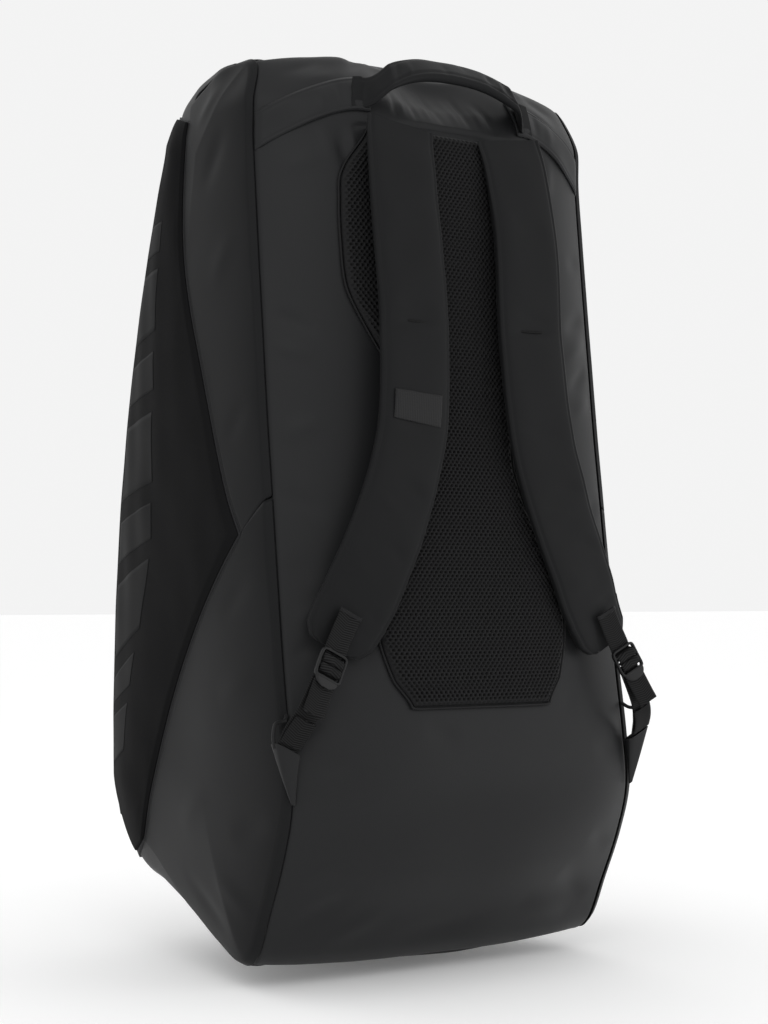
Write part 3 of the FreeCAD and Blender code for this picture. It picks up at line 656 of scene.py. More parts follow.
def on_wall(made):
    """Bakes the piece's placement into its points."""
    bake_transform(made)
    return made


for side, _ in SIDES:
    made = put_side(side, "zip_inner_tape_@_woven",
                    slab(*strip_skin(ZIP_RUN, INNER_TAPE, -TAPE_T, -TAPE_IN, 240, 5)),
                    tape_cloth, ["zip_inner_tape_@"])
    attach(made, "bag")
    on_wall(put_side(side, "zip_outer_tape_@_woven",
                     slab(*strip_skin(ZIP_RUN, OUTER_TAPE, -TAPE_T, -TAPE_IN, 240, 5)),
                     tape_cloth, ["zip_outer_tape_@"]))
    on_wall(put_side(side, "zip_strip_@_ripstop",
                     slab(*strip_skin(ZIP_RUN, STRIP, -TAPE_T, -0.2, 240, 9, crown=1.2)),
                     ripstop, ["zip_strip_@"]))
    made = put_side(side, "zip_inner_coil_@", coil_skin(ZIP_RUN, COIL_X[0], COIL_OUT, COIL_R, 0.0),
                    coil_paint)
    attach(made, "bag")
    on_wall(put_side(side, "zip_outer_coil_@", coil_skin(ZIP_RUN, COIL_X[1], COIL_OUT, COIL_R, 0.5),
                     coil_paint))

# ---- Side walls ----------------------------------------------------------------------------------
# Each side is a door sewn along the back seam: an upper and a lower panel of coated cloth over foam,
# meeting in a point, with a lined opening between them for the pocket.
DOME, DOME_REACH, DOME_POWER = 16.0, 110.0, 0.68
UPPER_EDGE = np.array([(25, 711), (28, 681), (28, 647), (25, 612), (18, 578), (8, 545), (-7, 506),
                       (-23, 463), (-38, 423), (-53, 388), (-69, 360)], float)
LOWER_EDGE = np.array([(-69, 360), (-51, 340), (-30, 316), (-5, 286), (20, 253), (42, 219), (58, 190),
                       (72, 163), (86, 138), (100, 112), (108, 101)], float)
SEAM_UPPER_RUN, SEAM_LOWER_RUN, SEAM_FRONT_RUN = (COUNT - 3.1, COUNT + 7.0), (7.03, 18.55), (29.9, 19.0)
SAMPLES = closed(OUTLINE, np.arange(8 * COUNT + 1) / 8)


def seam_distance(y, z):
    """Distance from (y, z) to the outline, over all its short runs."""
    best = np.full(np.shape(y), 1e9)
    for (ay, az), (by, bz) in zip(SAMPLES, SAMPLES[1:]):
        ry, rz = by - ay, bz - az
        f = np.clip(((y - ay) * ry + (z - az) * rz) / (ry * ry + rz * rz), 0, 1)
        best = np.minimum(best, np.hypot(y - ay - ry * f, z - az - rz * f))
    return best


def smooth(values, at):
    """A table of values or points read smoothly at real indices."""
    last = len(values) - 1
    i = np.clip(np.floor(at).astype(int), 0, last - 1)
    near = [values[np.clip(i + k, 0, last)] for k in (-1, 0, 1, 2)]
    f = at - i
    return cubic(*near, f if values.ndim == 1 else f[:, None])


def along(points, f):
    """A list of (y, z) points read smoothly at the fraction f of its index range."""
    return smooth(points, f * (len(points) - 1))


def on_run(run, f, inset=0.0):
    """The outline over a run, moved inwards by inset."""
    point, normal = seam(run[0] + (run[1] - run[0]) * f)
    return point - normal * inset


def wall_x(y, z):
    """The wall's dome: q is the distance from the rim, and the power sets how soon it rises."""
    q = np.minimum(seam_distance(y, z) / DOME_REACH, 1)
    return WALL_X + DOME * (2 * q - q * q) ** DOME_POWER


def wall_grid(edge_a, edge_b, r, lift):
    """Side wall between two edges: straight across in (y, z), domed outwards in x, plus lift."""
    line = edge_a[:, None] + (edge_b - edge_a)[:, None] * r[None, :, None]
    y, z = line[..., 0], line[..., 1]
    return np.stack([wall_x(y, z) + lift(y, z, r[None, :] + 0 * y), y, z], -1)


EDGE_INSET = 12.0       # the upper panel stops short of the rim at the front top corner
WALL_FOLDS = [(-40, 700, -5, 640, 9, -1.2), (-30, 735, 10, 700, 7, 1.2), (-52, 610, -20, 560, 10, 0.8),
              (-75, 470, -45, 430, 9, -0.8), (-88, 330, -40, 290, 10, -0.9),
              (-100, 250, -40, 230, 12, 0.9), (-118, 140, -60, 120, 10, -1.2),
              (-90, 60, -30, 90, 9, 1.2), (-60, 40, 30, 84, 8, -1.1), (-30, 160, 30, 120, 12, 0.8)]


def panel_lift(seed):
    """Slack and folds over the wall, rolled down into the seam and into the pocket's edge."""
    def lift(y, z, r):
        """Slack and folds, faded by a bell at each edge, less the rolls: a and b are the distances
        from the seam and from the pocket."""
        reach = np.hypot(y[:, -1] - y[:, 0], z[:, -1] - z[:, 0])[:, None]
        a, b = r * reach, (1 - r) * reach
        slack = 0.32 * ripple(y, z, seed, 110) + folds(y, z, WALL_FOLDS)
        slack = slack * (1 - near_edge(a, 9)) * (1 - near_edge(b, 6))
        rolled = 3.2 * near_edge(a, 2.4) + 0.7 * near_edge(b, 1.0) + 0.4 * near_edge(b - 3.5, 0.8)
        return WALL_T + slack - rolled
    return lift


def rows_near_edges(count):
    """Fractions from 0 to 1, closer together near both edges."""
    return np.sort(np.concatenate([np.linspace(0, 1, count), (0.004, 0.01, 0.02, 0.034),
                                   (0.996, 0.99, 0.98, 0.966)]))


def at_wall(y, z, r):
    """A piece's inner face when it lies on the wall itself."""
    return 0.0


def ripstop_lift(span):
    """Ripstop 2.6 thick, rolled down at the edge where r is 0; span is its width for the roll."""
    return lambda y, z, r: 2.6 - 2.2 * near_edge(r * span, 2.0)


def wall_piece(name, nodes, edge_a, edge_b, r, lift, paint, slot, under=at_wall, foam=0.0):
    """Both walls' pieces of one pattern; foam is not used."""
    outer = wall_grid(edge_a, edge_b, r, lift)
    inner = wall_grid(edge_a, edge_b, r, under)
    for side, _ in SIDES:
        piece = put_side(side, name + "_@", slab(outer, inner), paint, [n + "_@" for n in nodes])
        on_wall(piece)


def run_at(run, f):
    """The outline index at the fraction f of a run."""
    return run[0] + (run[1] - run[0]) * f


f = np.linspace(0, 1, 190)
inset = EDGE_INSET * step((COUNT - 0.8 - run_at(SEAM_UPPER_RUN, f)) / 2.0)[:, None]
wall_piece("side_upper_fabric", ["side_upper"], on_run(SEAM_UPPER_RUN, f, inset),
           along(UPPER_EDGE, f) - (0.5, 0), rows_near_edges(60), panel_lift(31), coated_shaded,
           "coated_fabric", foam=0.5)

# Beyond that edge the ripstop comes round the rim and down to the top of the pocket.
RIM_RUN, HEEL_RUN = (SEAM_UPPER_RUN[0] - 1.25, COUNT - 0.9), (16.9, 19.15)
rim = np.linspace(0, 1, 90)
joins = 0.03 + 0.97 * step((rim - 0.22) / 0.25)[:, None]
rim_inner = on_run(RIM_RUN, rim, 15.0 - 12.0 * rim[:, None]) * joins
rim_inner = rim_inner + (UPPER_EDGE[0] + (-3, 2)) * (1 - joins)
wall_piece("side_rim_ripstop", [], on_run(RIM_RUN, rim), rim_inner, np.linspace(0, 1, 24),
           ripstop_lift(20), ripstop, "ripstop")
f = np.linspace(0, 1, 200)
inset = EDGE_INSET * 2 * step((run_at(SEAM_LOWER_RUN, f) - 16.8) / 1.7)[:, None]
wall_piece("side_lower_fabric", ["side_lower"], on_run(SEAM_LOWER_RUN, f, inset),
           along(LOWER_EDGE, f) - (0.3, 0.4), rows_near_edges(60), panel_lift(32), coated_shaded,
           "coated_fabric", foam=0.5)
heel = np.linspace(0, 1, 70)
wall_piece("side_heel_ripstop", [], on_run(HEEL_RUN, heel),
           on_run(HEEL_RUN, heel, 2.5 + 26.0 * step(heel / 0.72)[:, None]), np.linspace(0, 1, 14),
           ripstop_lift(14), ripstop, "ripstop")

# ---- Side pockets --------------------------------------------------------------------------------
# A long pocket of black stretch knit over foam, on a lining. It is sewn down along the side panels
# and closed at the front by its own zip; plain slanted bars are printed on it in grey.
POCKET_INSET, POCKET_GAP, POCKET_RISE, POCKET_T, POCKET_SPLIT = 9.0, 1.3, 5.8, 2.5, 0.6
knit = cloth("neoprene", (0.0052, 0.0052, 0.0055), 0.80, 0.8, 0.25, gloss=0.06)
lining = cloth("lining", (0.012, 0.012, 0.013), 0.60, 0.5, 0.12, woven_mm=0.8, sheen=0.03)
film = cloth("printed_film", (0.0078, 0.0079, 0.0083), 0.55, 0.8, 0.08, sheen=0.0, gloss=0.05)


def pocket_edge(f):
    """Both inner edges of the pocket as one line, top to bottom."""
    upper = along(UPPER_EDGE, np.clip(f / POCKET_SPLIT, 0, 1))
    lower = along(LOWER_EDGE, np.clip((f - POCKET_SPLIT) / (1 - POCKET_SPLIT), 0, 1))
    return np.where((f < POCKET_SPLIT)[:, None], upper, lower)


def pocket_edges(f):
    """The pocket's sewn edge and its zipped edge at the fractions f down it."""
    return pocket_edge(f) + (1.2, 0), on_run(SEAM_FRONT_RUN, f, POCKET_INSET)


def pocket_under(r, f):
    """The pocket lies on the wall at its ends and its sewn edge, and stands off it at the front:
    a quarter sine across, faded straight to both ends."""
    ends = np.clip(np.minimum(f / 0.06, (1 - f) / 0.12), 0, 1)
    return (POCKET_GAP + POCKET_RISE) * np.sin(np.minimum(r / 0.65, 1) * np.pi / 2) * ends + WALL_T + 0.3


def pocket_slack(y, z, r):
    """Slight unevenness of the knit, none at its edges."""
    return 0.35 * ripple(y, z, 41, 60) * np.clip(np.minimum(r, 1 - r) * 8, 0, 1)


f = np.linspace(0, 1, 160)
wall_piece("pocket_lining", ["pocket_backing"], pocket_edge(f) - (0.7, 0.2), on_run(SEAM_FRONT_RUN, f),
           np.linspace(0, 1, 30), lambda y, z, r: WALL_T + 0 * y, lining, "lining")

f = np.linspace(0, 1, 240)
wall_piece("side_pocket_knit", ["side_pocket"], *pocket_edges(f), rows_near_edges(70),
           lambda y, z, r: (pocket_under(r, f[:, None]) + POCKET_T * np.clip(0.25 + r / 0.06, 0, 1)
                            + pocket_slack(y, z, r) - 1.6 * near_edge((1 - r) * 120.0, 2.2)),
           knit, "neoprene", under=lambda y, z, r: pocket_under(r, f[:, None]), foam=0.4)

# Each bar: where it starts and ends down the pocket, and how far across it begins.
BARS = [(0.17, 0.215, 0.50), (0.24, 0.325, 0.50), (0.35, 0.395, 0.52), (0.42, 0.505, 0.54),
        (0.53, 0.575, 0.56), (0.60, 0.685, 0.58), (0.71, 0.755, 0.60), (0.78, 0.845, 0.60)]
BAR_SLANT, BAR_HAIR, BAR_FRONT, BAR_GRID = 0.05, (0.22, 0.02), 0.93, (14, 40)


def bar_skin(low, high, back):
    """A printed bar: a slanted patch of the pocket's own surface, lifted a hair off it."""
    k, r = np.meshgrid(np.linspace(0, 1, BAR_GRID[0]), np.linspace(back, BAR_FRONT, BAR_GRID[1]),
                       indexing="ij")
    g, r = (low + (high - low) * k + BAR_SLANT * (r - 0.5)).ravel(), r.ravel()
    a, b = pocket_edges(g)
    y, z = (a + (b - a) * r[:, None]).T
    x = wall_x(y, z) + pocket_under(r, g) + POCKET_T + pocket_slack(y, z, r)
    return slab(*(np.stack([x + hair, y, z], -1).reshape(*BAR_GRID, 3) for hair in BAR_HAIR))


for k, bar in enumerate(BARS):
    skin = bar_skin(*bar)
    for side, _ in SIDES:
        on_wall(put_side(side, f"pocket_bar_{k}_@", skin, film))

POCKET_ZIP_X, POCKET_COIL_X = (172.4, 178.6), 175.6
POCKET_ZIP_RUN, POCKET_ZIP_IN = (19.7, 29.3), 6.2
tape = slab(*strip_skin(POCKET_ZIP_RUN, POCKET_ZIP_X, -POCKET_ZIP_IN - TAPE_T, -POCKET_ZIP_IN - TAPE_IN,
                        150, 5))
coil = coil_skin(POCKET_ZIP_RUN, POCKET_COIL_X, -POCKET_ZIP_IN - 0.1, 0.9, 0.0)
for side, _ in SIDES:
    on_wall(put_side(side, "pocket_zip_tape_@_woven", tape, tape_cloth,
                     ["pocket_zip_tape_@"]))
    on_wall(put_side(side, "pocket_zip_coil_@", coil, coil_paint))

# ---- Shoulder straps -----------------------------------------------------------------------------
# Curved straps of coated cloth over 10 mm foam, sewn in under the yoke. Each is bagged out, so its
# edges are a seam, and a bar tack holds its layers together part way down.
STRAP_PATH = np.array([(54, -113, 697), (57, -121, 673), (59, -131, 632), (59, -138, 590),
                       (57.5, -142, 548), (58, -145, 514), (60.5, -149, 470), (65, -151, 436),
                       (74, -152, 403), (85.5, -152.5, 371), (99.5, -152, 339), (113.5, -149.5, 309),
                       (126, -146.5, 286), (134, -144.5, 270)], float)
ROLL = np.radians([0, 0, 0, 0, 0, 0, 0, 0, 0, 3, 5, 7, 8.5, 9])
HALF = np.array([32.0] * 12 + [29.0, 20.0])
THICK = np.array([4.6, 7.0, 10.5] + [11.5] * 10 + [8.0])
STRAP_STEP = 34.0       # length of one step of the path, for folds given by path index


def unit(vectors):
    """Vectors scaled to length 1."""
    return vectors / np.linalg.norm(vectors, axis=-1, keepdims=True)


def strap_axes(at):
    """Centre, width direction and outer normal of the strap at path indices."""
    centre = smooth(STRAP_PATH, at)
    ahead, behind = (smooth(STRAP_PATH, np.clip(at + d, 0, 13)) for d in (0.4, -0.4))
    run = unit(ahead - behind)
    across = unit(np.cross((0.0, -1.0, 0.0), run))
    across = across * np.where(across[:, :1] > 0, -1, 1)
    roll = smooth(ROLL, at)[:, None]
    across = across * np.cos(roll) + np.array((0.0, -1.0, 0.0)) * np.sin(roll)
    face = unit(np.cross(run, across))
    return centre, across, face * np.where(face[:, 1:2] > 0, -1, 1)


at = np.concatenate([np.linspace(0, 12, 230, endpoint=False), np.linspace(12, 13, 34)])
centre, across, face = strap_axes(at)
half, thick = smooth(HALF, at), smooth(THICK, at)
half = np.where(at > 11.4, np.interp(at, [11.4, 12.3, 12.8, 13], [32, 29.5, 23, 17]), half)
thick = np.where(at > 12.3, np.interp(at, [12.3, 12.8, 13], [11.3, 9.0, 3.0]), thick)
thick = np.where(at < 0.8, np.interp(at, [0, 0.35, 0.8], [1.6, 4.2, 6.2]), thick)
STRAP_FOLDS = [(4.05, -22, 4.35, 24, 0.16, -0.9), (4.75, -26, 4.6, 26, 0.14, 0.6),
               (2.1, -20, 2.5, 24, 0.2, -0.5), (6.4, -28, 6.9, 18, 0.16, -0.6),
               (7.9, -10, 8.4, 28, 0.18, -0.9), (8.6, -26, 8.9, 16, 0.16, 0.7),
               (9.4, -4, 9.9, 28, 0.17, -0.9), (10.2, -26, 10.6, 12, 0.18, 0.6),
               (11.0, 2, 11.5, 26, 0.16, -0.7)]
TACK_AT = 4.53


def strap_lift(flip, seed):
    """Seam grooves near both edges, creases, slack, and the pinch at the bar tack; flip -1 and
    1 give the two straps different creases."""
    def lift(u):
        """The lift at the distance u from the strap's middle line, over all its rings."""
        along_path = at[:, None] * STRAP_STEP + 0 * u
        grow = 1.0 if flip < 0 else 1.2
        marks = [(a0 * STRAP_STEP, -flip * u0, a1 * STRAP_STEP, -flip * u1, width * STRAP_STEP,
                  height * grow) for a0, u0, a1, u1, width, height in STRAP_FOLDS]
        groove = -0.8 * near_edge(half[:, None] - np.abs(u) - 3.6, 1.0)
        pinch = near_edge((at[:, None] - TACK_AT) * STRAP_STEP, 4.0) * near_edge(np.abs(u), 14)
        return groove + 0.35 * ripple(along_path, u, seed, 48) + folds(along_path, u, marks) - 1.8 * pinch
    return lift


for (side, sign), seed in zip(SIDES, (51, 52)):
    rings = pad_rings(centre, across, face, half, thick, sides=72, flat=(0.5, 0.62),
                      lift=strap_lift(sign, seed))
    made = put_side(side, "strap_@_padded", tube(rings), coated_shaded,
                    ["strap_root_@", "strap_pad_@"])
    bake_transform(made)

thread = cloth("thread", (0.003, 0.003, 0.003), 0.6, 0.3, 0.1, sheen=0.02)
TACK_HALF, TACK_W, STITCH = 11.0, 0.95, 1.3
centre, across, face = strap_axes(np.array([TACK_AT]))
run = np.cross(face, across)
u = np.linspace(-TACK_HALF, TACK_HALF, 67)
size = 1 + 0.25 * np.cos(u * 2 * np.pi / STITCH)
size = size * TACK_W * np.sqrt(np.clip(1 - (u / (TACK_HALF + 0.3)) ** 8, 0.02, 1))
angle = np.linspace(0, 2 * np.pi, 10, endpoint=False)[None, :, None]
spine = centre + across * (u + 2.0)[:, None] - face * (0.9 + 0.6 * near_edge(u, 14))[:, None]
tack = tube(spine[:, None] + size[:, None, None] * (np.cos(angle) * run + np.sin(angle) * face * 0.75))
for side, _ in SIDES:
    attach(put_side(side, "bar_tack_@", tack, thread), side + "_strap")

# A plain woven label on the left strap, its ends folded under.
label_cloth = cloth("label", (0.009, 0.009, 0.0095), 0.38, 0.4, 0.10, woven_mm=0.7, sheen=0.03)
LABEL_HALF, LABEL_T, LABEL_RUN = 22.0, 0.9, (5.93, 6.63)
rows = np.linspace(*LABEL_RUN, 26)
centre, across, face = strap_axes(rows)
u = fine_ends(-LABEL_HALF, LABEL_HALF, 40, (0.4, 1.0))
edge = np.minimum(LABEL_HALF - np.abs(u)[None, :],
                  (np.minimum(rows - rows[0], rows[-1] - rows) * STRAP_STEP)[:, None])
lift = 1.15 - 0.5 * near_edge(edge, 0.7) - 0.25 * near_edge(edge - 1.8, 0.5)
lift = lift - 2.3 * (1 - np.sqrt(np.clip(1 - (np.abs(u) / 40.0) ** 4, 0, 1)))
outer = centre[:, None] + across[:, None] * u[None, :, None] + face[:, None] * lift[..., None]
label = put_side("left", "strap_label_woven", slab(outer, outer - face[:, None] * LABEL_T), label_cloth,
                 ["strap_label"])
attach(label, "left_strap")

# ---- Webbing, ladder locks and anchor tabs -------------------------------------------------------
# Ribbed 20 mm webbing is sewn to each strap's end and holds a ladder lock. A second piece comes up
# from a folded tab in the back seam, over the lock's bars and down again as a free tail.
WEB_W, WEB_T = 20.0, 1.6
WEB_POINTS = np.array([(125, -150.2, 297), (131.5, -149.6, 284), (138, -151.5, 271), (151.5, -156, 244.5),
                       (160, -153.5, 225), (166, -151, 213)], float)
web_run = unit(WEB_POINTS[3] - WEB_POINTS[2])
web_across = unit(np.cross((0.0, -1.0, 0.0), web_run))
web_face = np.cross(web_run, web_across)
web_face = web_face * (-1 if web_face[1] > 0 else 1)
lock_mid = (WEB_POINTS[2] + WEB_POINTS[3]) / 2 + web_face * 1.5


def webbing_paint():
    """Webbing: near black, mixed towards grey on the raised threads by the rib attribute, a painted
    highlight on the rib tops.
    """
    paint = cloth("webbing", (0.0006, 0.0006, 0.0007), 0.55, 0.35, 0.10, gloss=0.10)
    nodes, links = paint.node_tree.nodes, paint.node_tree.links
    relief = next(n for n in nodes if n.type == "BUMP")
    shader = nodes["Principled BSDF"]
    rib = nodes.new("ShaderNodeAttribute")
    rib.attribute_name = "rib"
    rib_highlight = nodes.new("ShaderNodeMix")
    rib_highlight.data_type = "RGBA"
    # Grey on the rib tops: painted highlight.
    rib_highlight.inputs[7].default_value = (0.020, 0.020, 0.0205, 1)
    links.new(shader.inputs["Base Color"].links[0].from_socket, rib_highlight.inputs[6])
    links.new(rib.outputs["Fac"], rib_highlight.inputs[0])
    links.new(rib_highlight.outputs[2], shader.inputs["Base Color"])
    relief.inputs["Distance"].default_value = 0.0001
    return paint


webbing = webbing_paint()


def web_skin(path, across, width=WEB_W, thick=WEB_T, pitch=1.8):
    """A ribbed band along a path: threads slant both ways from the middle, like herringbone, and
    rise 0.34 mm; the edges are rounded selvedges. Also returns each point's painted highlight, strongest
    on the rib tops."""
    path = np.asarray(path, float)
    at = np.linspace(0, len(path) - 1, 400)
    line = smooth(path, at)
    length = np.concatenate([[0], np.cumsum(np.linalg.norm(np.diff(line, axis=0), axis=1))])
    count = max(int(length[-1] / pitch * 4), 12)
    line = smooth(path, np.interp(np.linspace(0, length[-1], count), length, at))
    run = unit(np.gradient(line, axis=0))
    side = np.broadcast_to(across, run.shape)
    face = unit(np.cross(run, side))
    k = np.linspace(-1, 1, 21)
    dist = np.linspace(0, length[-1], count)[:, None]
    rib = 0.5 + 0.5 * np.cos(2 * np.pi * (dist + np.abs(k)[None, :] * 2.4) / pitch)
    round_edge = thick / 2 * (1 - np.abs(k) ** 8)[None, :] ** 0.5 * 0.8 + thick * 0.1
    top = round_edge + 0.34 * (rib - 0.5) * (1 - np.abs(k) ** 8)[None, :]
    flat = line[:, None] + side[:, None] * (width / 2 * k)[None, :, None]
    rise = face[:, None] * top[..., None]
    return slab(flat + rise, flat - rise), np.tile((rib ** 2.2).ravel(), 2)


def in_lock(pairs):
    """Points given as (along the run, out of the face) from the middle of the ladder lock."""
    return np.array([lock_mid + web_run * a + web_face * o for a, o in pairs])


TAIL_L = 27.0
stub_path = np.vstack([WEB_POINTS[0] + web_face * 1.9, WEB_POINTS[1] + web_face * 2.0,
                       in_lock([(-12.5, -1.2), (-9.0, -2.6)])])
bars_path = in_lock([(12.5, -3.6), (8.4, -3.2), (7.2, -1.2), (6.0, 1.8), (3.6, 2.5), (1.3, 2.0),
                     (0.0, -1.2), (-1.3, 2.0), (-3.6, 2.5), (-6.2, 1.9), (-7.4, -0.6), (-8.0, -2.6)])
lower_path = np.vstack([in_lock([(3.0, -4.4), (12.0, -4.6)]),
                        [(160.8, -151.5, 225.0), (167.0, -146.0, 212.5), (169.6, -142.2, 205.5),
                         (171.4, -138.4, 198.0), (171.8, -135.0, 190.0)]])
fold_path = np.array([(163.5, -151.4, 217.0), (166.8, -148.8, 211.0), (169.6, -145.2, 204.5),
                      (171.2, -141.2, 198.0)])
tail_path = in_lock([(13.6, -0.6), (20.6, -0.8), (30.6, -0.7), (13.6 + TAIL_L, -0.3)])
for side, sign in SIDES:
    for name, path, width, seen_alone, hold in (
            ("webbing_stub", stub_path, WEB_W, True, "_strap"),
            ("lock_wrap", bars_path, WEB_W - 0.8, False, "_strap"),
            ("lower_webbing", lower_path, WEB_W, True, None),
            ("webbing_fold", fold_path, WEB_W - 0.6, False, None),
            ("webbing_tail", tail_path, WEB_W - 0.4, True, "_tail")):
        skin, rib = web_skin(path, web_across, width)
        made = put_side(side, name + "_@_woven", skin, webbing, [name + "_@"] * seen_alone,
                        {"rib": rib})
        if hold:
            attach(made, side + hold)
        else:
            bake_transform(made)

# A narrow dark binding closes the top edge of the webbing patch.
stub_run = unit(WEB_POINTS[1] - WEB_POINTS[0])
patch_top = WEB_POINTS[0] + web_face * 2.1 + stub_run * np.array([-1.2, -0.2, 0.8, 1.8])[:, None]
skin, _ = web_skin(patch_top, web_across, WEB_W + 1.0, 2.2)
for side, _ in SIDES:
    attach(put_side(side, "webbing_binding_@", skin, binding), side + "_strap")

# The ladder lock is moulded acetal: a rounded frame, two cross bars and a thumb tongue.
LOCK_W, LOCK_L, LOCK_T = 25.0, 24.0, 3.6
FRAME_R, BAR_AT, BAR_SIZE = 1.1, 3.65, (1.2, 1.3)
TONGUE_HALF, TONGUE_L, TONGUE_IN = 10.8, 8.6, 2.4
plastic = cloth("buckle_plastic", (0.0075, 0.0075, 0.008), 0.36, 0.25, 0.03, mottle=0.05, sheen=0.0,
                gloss=0.22)


def bar_rings(path, width_axis, out_axis, half_w, half_t, sides=16, power=0.6):
    """A rounded-square rod along a path."""
    angle = np.linspace(0, 2 * np.pi, sides, endpoint=False)[None, :]
    c, s = np.cos(angle), np.sin(angle)
    half_w, half_t = (np.broadcast_to(h, len(path))[:, None] for h in (half_w, half_t))
    u = half_w * np.sign(c) * np.abs(c) ** power
    v = half_t * np.sign(s) * np.abs(s) ** power
    width_axis, out_axis = (np.broadcast_to(a, path.shape)[:, None] for a in (width_axis, out_axis))
    return path[:, None] + width_axis * u[..., None] + out_axis * v[..., None]


def joined(*skins):
    """Several closed skins as the one mesh of a moulded or sewn piece."""
    points, faces, count = [], [], 0
    for p, f in skins:
        points.append(p)
        faces.append(f + count)
        count += len(p)
    return np.concatenate(points), np.concatenate(faces)


def ring_skin(rings):
    """Rings carried round a closed path, the last joined to the first."""
    rows, cols = rings.shape[:2]
    return rings.reshape(-1, 3), grid_faces(rows + 1, cols, around=True) % (rows * cols)


def lock_skin():
    """The frame follows a rounded rectangle, bowed slightly; bars cross it; the tongue is a lip."""
    angle = np.linspace(0, 2 * np.pi, 72, endpoint=False)
    c, s = np.cos(angle), np.sin(angle)
    u = (LOCK_W / 2 - FRAME_R) * np.sign(c) * np.abs(c) ** 0.25
    v = (LOCK_L / 2 - 1.0) * np.sign(s) * np.abs(s) ** 0.25
    bow = 0.6 * (v / 12.0) ** 2
    path = lock_mid + web_across * u[:, None] + web_run * v[:, None] + web_face * bow[:, None]
    tangent = unit(np.roll(path, -1, 0) - np.roll(path, 1, 0))
    inward = unit(np.cross(tangent, web_face))
    skins = [ring_skin(bar_rings(path, inward, web_face, FRAME_R, LOCK_T / 2, 12))]
    x = np.linspace(-LOCK_W / 2 + 1.0, LOCK_W / 2 - 1.0, 16)
    for middle in (-BAR_AT, BAR_AT):
        line = lock_mid + web_across * x[:, None] + web_run * middle
        skins.append(tube(bar_rings(line, web_run, web_face, *BAR_SIZE, 12)))
    k = np.linspace(0, 1, 18)
    width = TONGUE_HALF * np.sqrt(np.clip(1 - (k * 0.96) ** 2.4, 0, 1))
    line = in_lock(zip(LOCK_L / 2 - TONGUE_IN + TONGUE_L * k, 0.6 + 1.5 * k - 0.3 * k ** 2))
    skins.append(tube(bar_rings(line, web_across, web_face, width, 1.3 - 0.4 * k, 20, 0.5)))
    return joined(*skins)


lock = lock_skin()
for side, _ in SIDES:
    made = put_side(side, "ladder_lock_@_moulded", lock, plastic, ["ladder_lock_@"])
    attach(made, side + "_strap")

# The anchor tab is a folded piece of cloth: a flat cone sewn shut at its point, its mouth open, and
# a rolled edge that runs from the mouth up to the seam.
tab_cloth = cloth("anchor_tab_cloth", (0.0105, 0.0107, 0.0113), 0.50, 0.5, 0.12)
TAB_MOUTH, TAB_APEX = np.array((171.5, -136.0, 194.0)), np.array((165.0, -134.0, 152.0))
TAB_HALF, TAB_THICK, ROLLED_R = (1.6, 10.8), (1.1, 5.4), 1.5
f = np.linspace(0, 1, 40)
middle = TAB_APEX + (TAB_MOUTH - TAB_APEX) * f[:, None] + (0.0, 1.0, 0.0) * (2.2 * f)[:, None]
middle = middle + web_across * (0.8 * np.sin(f * np.pi))[:, None]
half_w = TAB_HALF[0] + TAB_HALF[1] * f ** 0.9
half_t = TAB_THICK[0] + TAB_THICK[1] * f ** 1.6
outer = bar_rings(middle, web_across, web_face, half_w, half_t, 40, 0.55)
inner = bar_rings(middle, web_across, web_face, half_w - 0.9, half_t - 0.8, 40, 0.55)
rows, cols = outer.shape[:2]
size = rows * cols
index = np.arange(size).reshape(rows, cols)
mouth, point = index[-1], index[0]
rims = [np.stack([np.roll(mouth, -1), mouth, mouth + size, np.roll(mouth, -1) + size], -1),
        np.stack([point, np.roll(point, -1), np.roll(point, -1) + size, point + size], -1)]
faces = np.concatenate([grid_faces(rows, cols, True), grid_faces(rows, cols, True, size)[:, ::-1], *rims])
cone = np.concatenate([outer.reshape(-1, 3), inner.reshape(-1, 3)]), faces
mouth_side = TAB_MOUTH + (0, 2.0, 0) + web_across * np.sign(web_across[0]) * 11.0
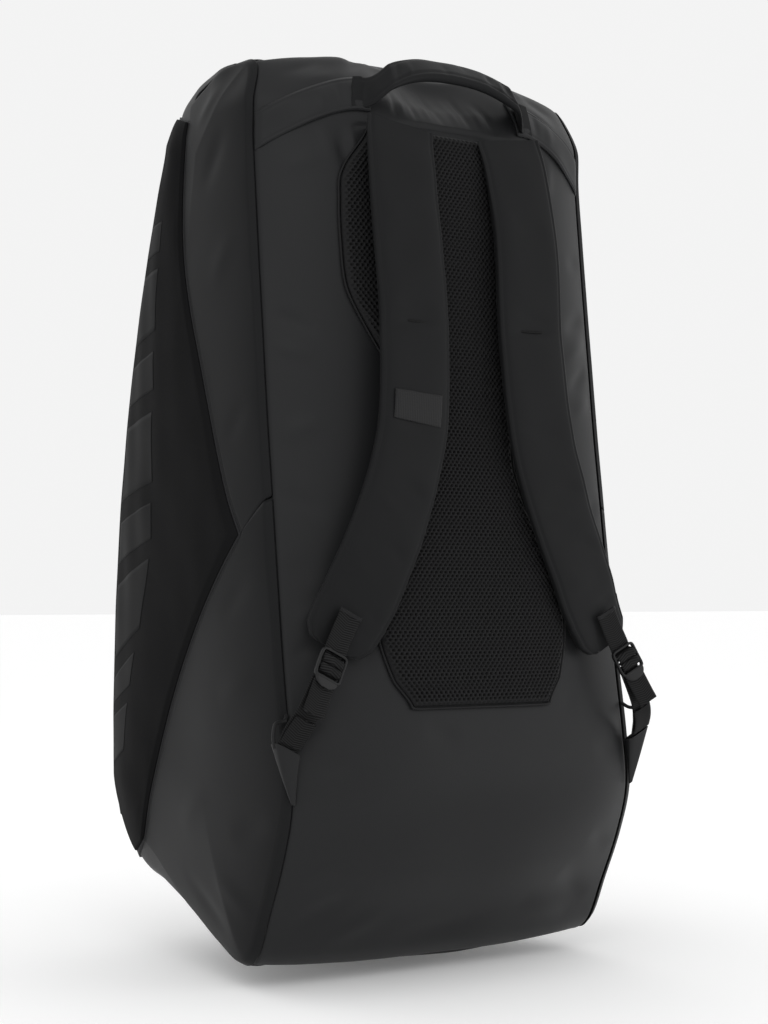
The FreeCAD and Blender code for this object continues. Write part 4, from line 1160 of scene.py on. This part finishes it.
rolled = smooth(np.array([mouth_side - (0, 0, 3.0), mouth_side + (0.6, 1.0, 6.0),
                          mouth_side + (-3.5, 5.0, 15.0), (169.0, -127.0, 216.0),
                          (165.0, -122.5, 219.5)]),
                np.linspace(0, 4, 40))
tab = joined(cone, tube(round_rings(rolled, ROLLED_R, 12)))
for side, _ in SIDES:
    made = put_side(side, "anchor_tab_@_folded", tab, tab_cloth, ["anchor_tab_@"])
    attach(made, "bag")

# ---- Sliders, pulls and inner parts --------------------------------------------------------------
# Zinc sliders with a lacquered finish and moulded pulls; the foam board; the divider.
metal = cloth("slider_metal", (0.03, 0.03, 0.032), 0.30, 0.3, 0.02, sheen=0.0)
metal.node_tree.nodes["Principled BSDF"].inputs["Metallic"].default_value = 0.9
board = cloth("foam_board", (0.05, 0.05, 0.052), 0.75, 1.5, 0.3, sheen=0.0)
DIVIDER_RUNS, DIVIDER_IN, QUILT_STEP = ((0.4, 14.2), (29.6, 18.4)), -9.0, 14.0
back_line, front_line = (shell(run_at(run, np.linspace(0, 1, 120)), 0, WALL_X, DIVIDER_IN)[:, 1:]
                         for run in DIVIDER_RUNS)
line = back_line[:, None] + (front_line - back_line)[:, None] * np.linspace(0, 1, 60)[None, :, None]
y, z = line[..., 0], line[..., 1]
quilt = 1.6 + 0.5 * np.abs(np.sin((y + z) / QUILT_STEP) * np.sin((y - z) / QUILT_STEP)) ** 0.5
divider = put("divider_quilted", slab(np.stack([quilt, y, z], -1), np.stack([-quilt, y, z], -1)),
              lining, ["divider"])
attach(divider, "bag")

# The board follows the back panel's curve just inside it.
BOARD_RUN, BOARD_HALF, BOARD_IN = (2.2, 12.2), 136.0, (-5.5, -8.5)
s = np.linspace(*BOARD_RUN, 100)[:, None]
x = np.linspace(-BOARD_HALF, BOARD_HALF, 70)[None, :]
moulded = put("foam_board_moulded", slab(*(shell(s, x, WALL_X, depth) for depth in BOARD_IN)), board,
              ["back_board"])
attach(moulded, "bag")

for part in ("main", "pocket"):
    for kind, paint in (("slider", metal), ("pull", plastic)):
        for side, _ in SIDES:
            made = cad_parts[f"{part}_{kind}_{side}"]
            made.data.materials.clear()
            made.data.materials.append(paint)
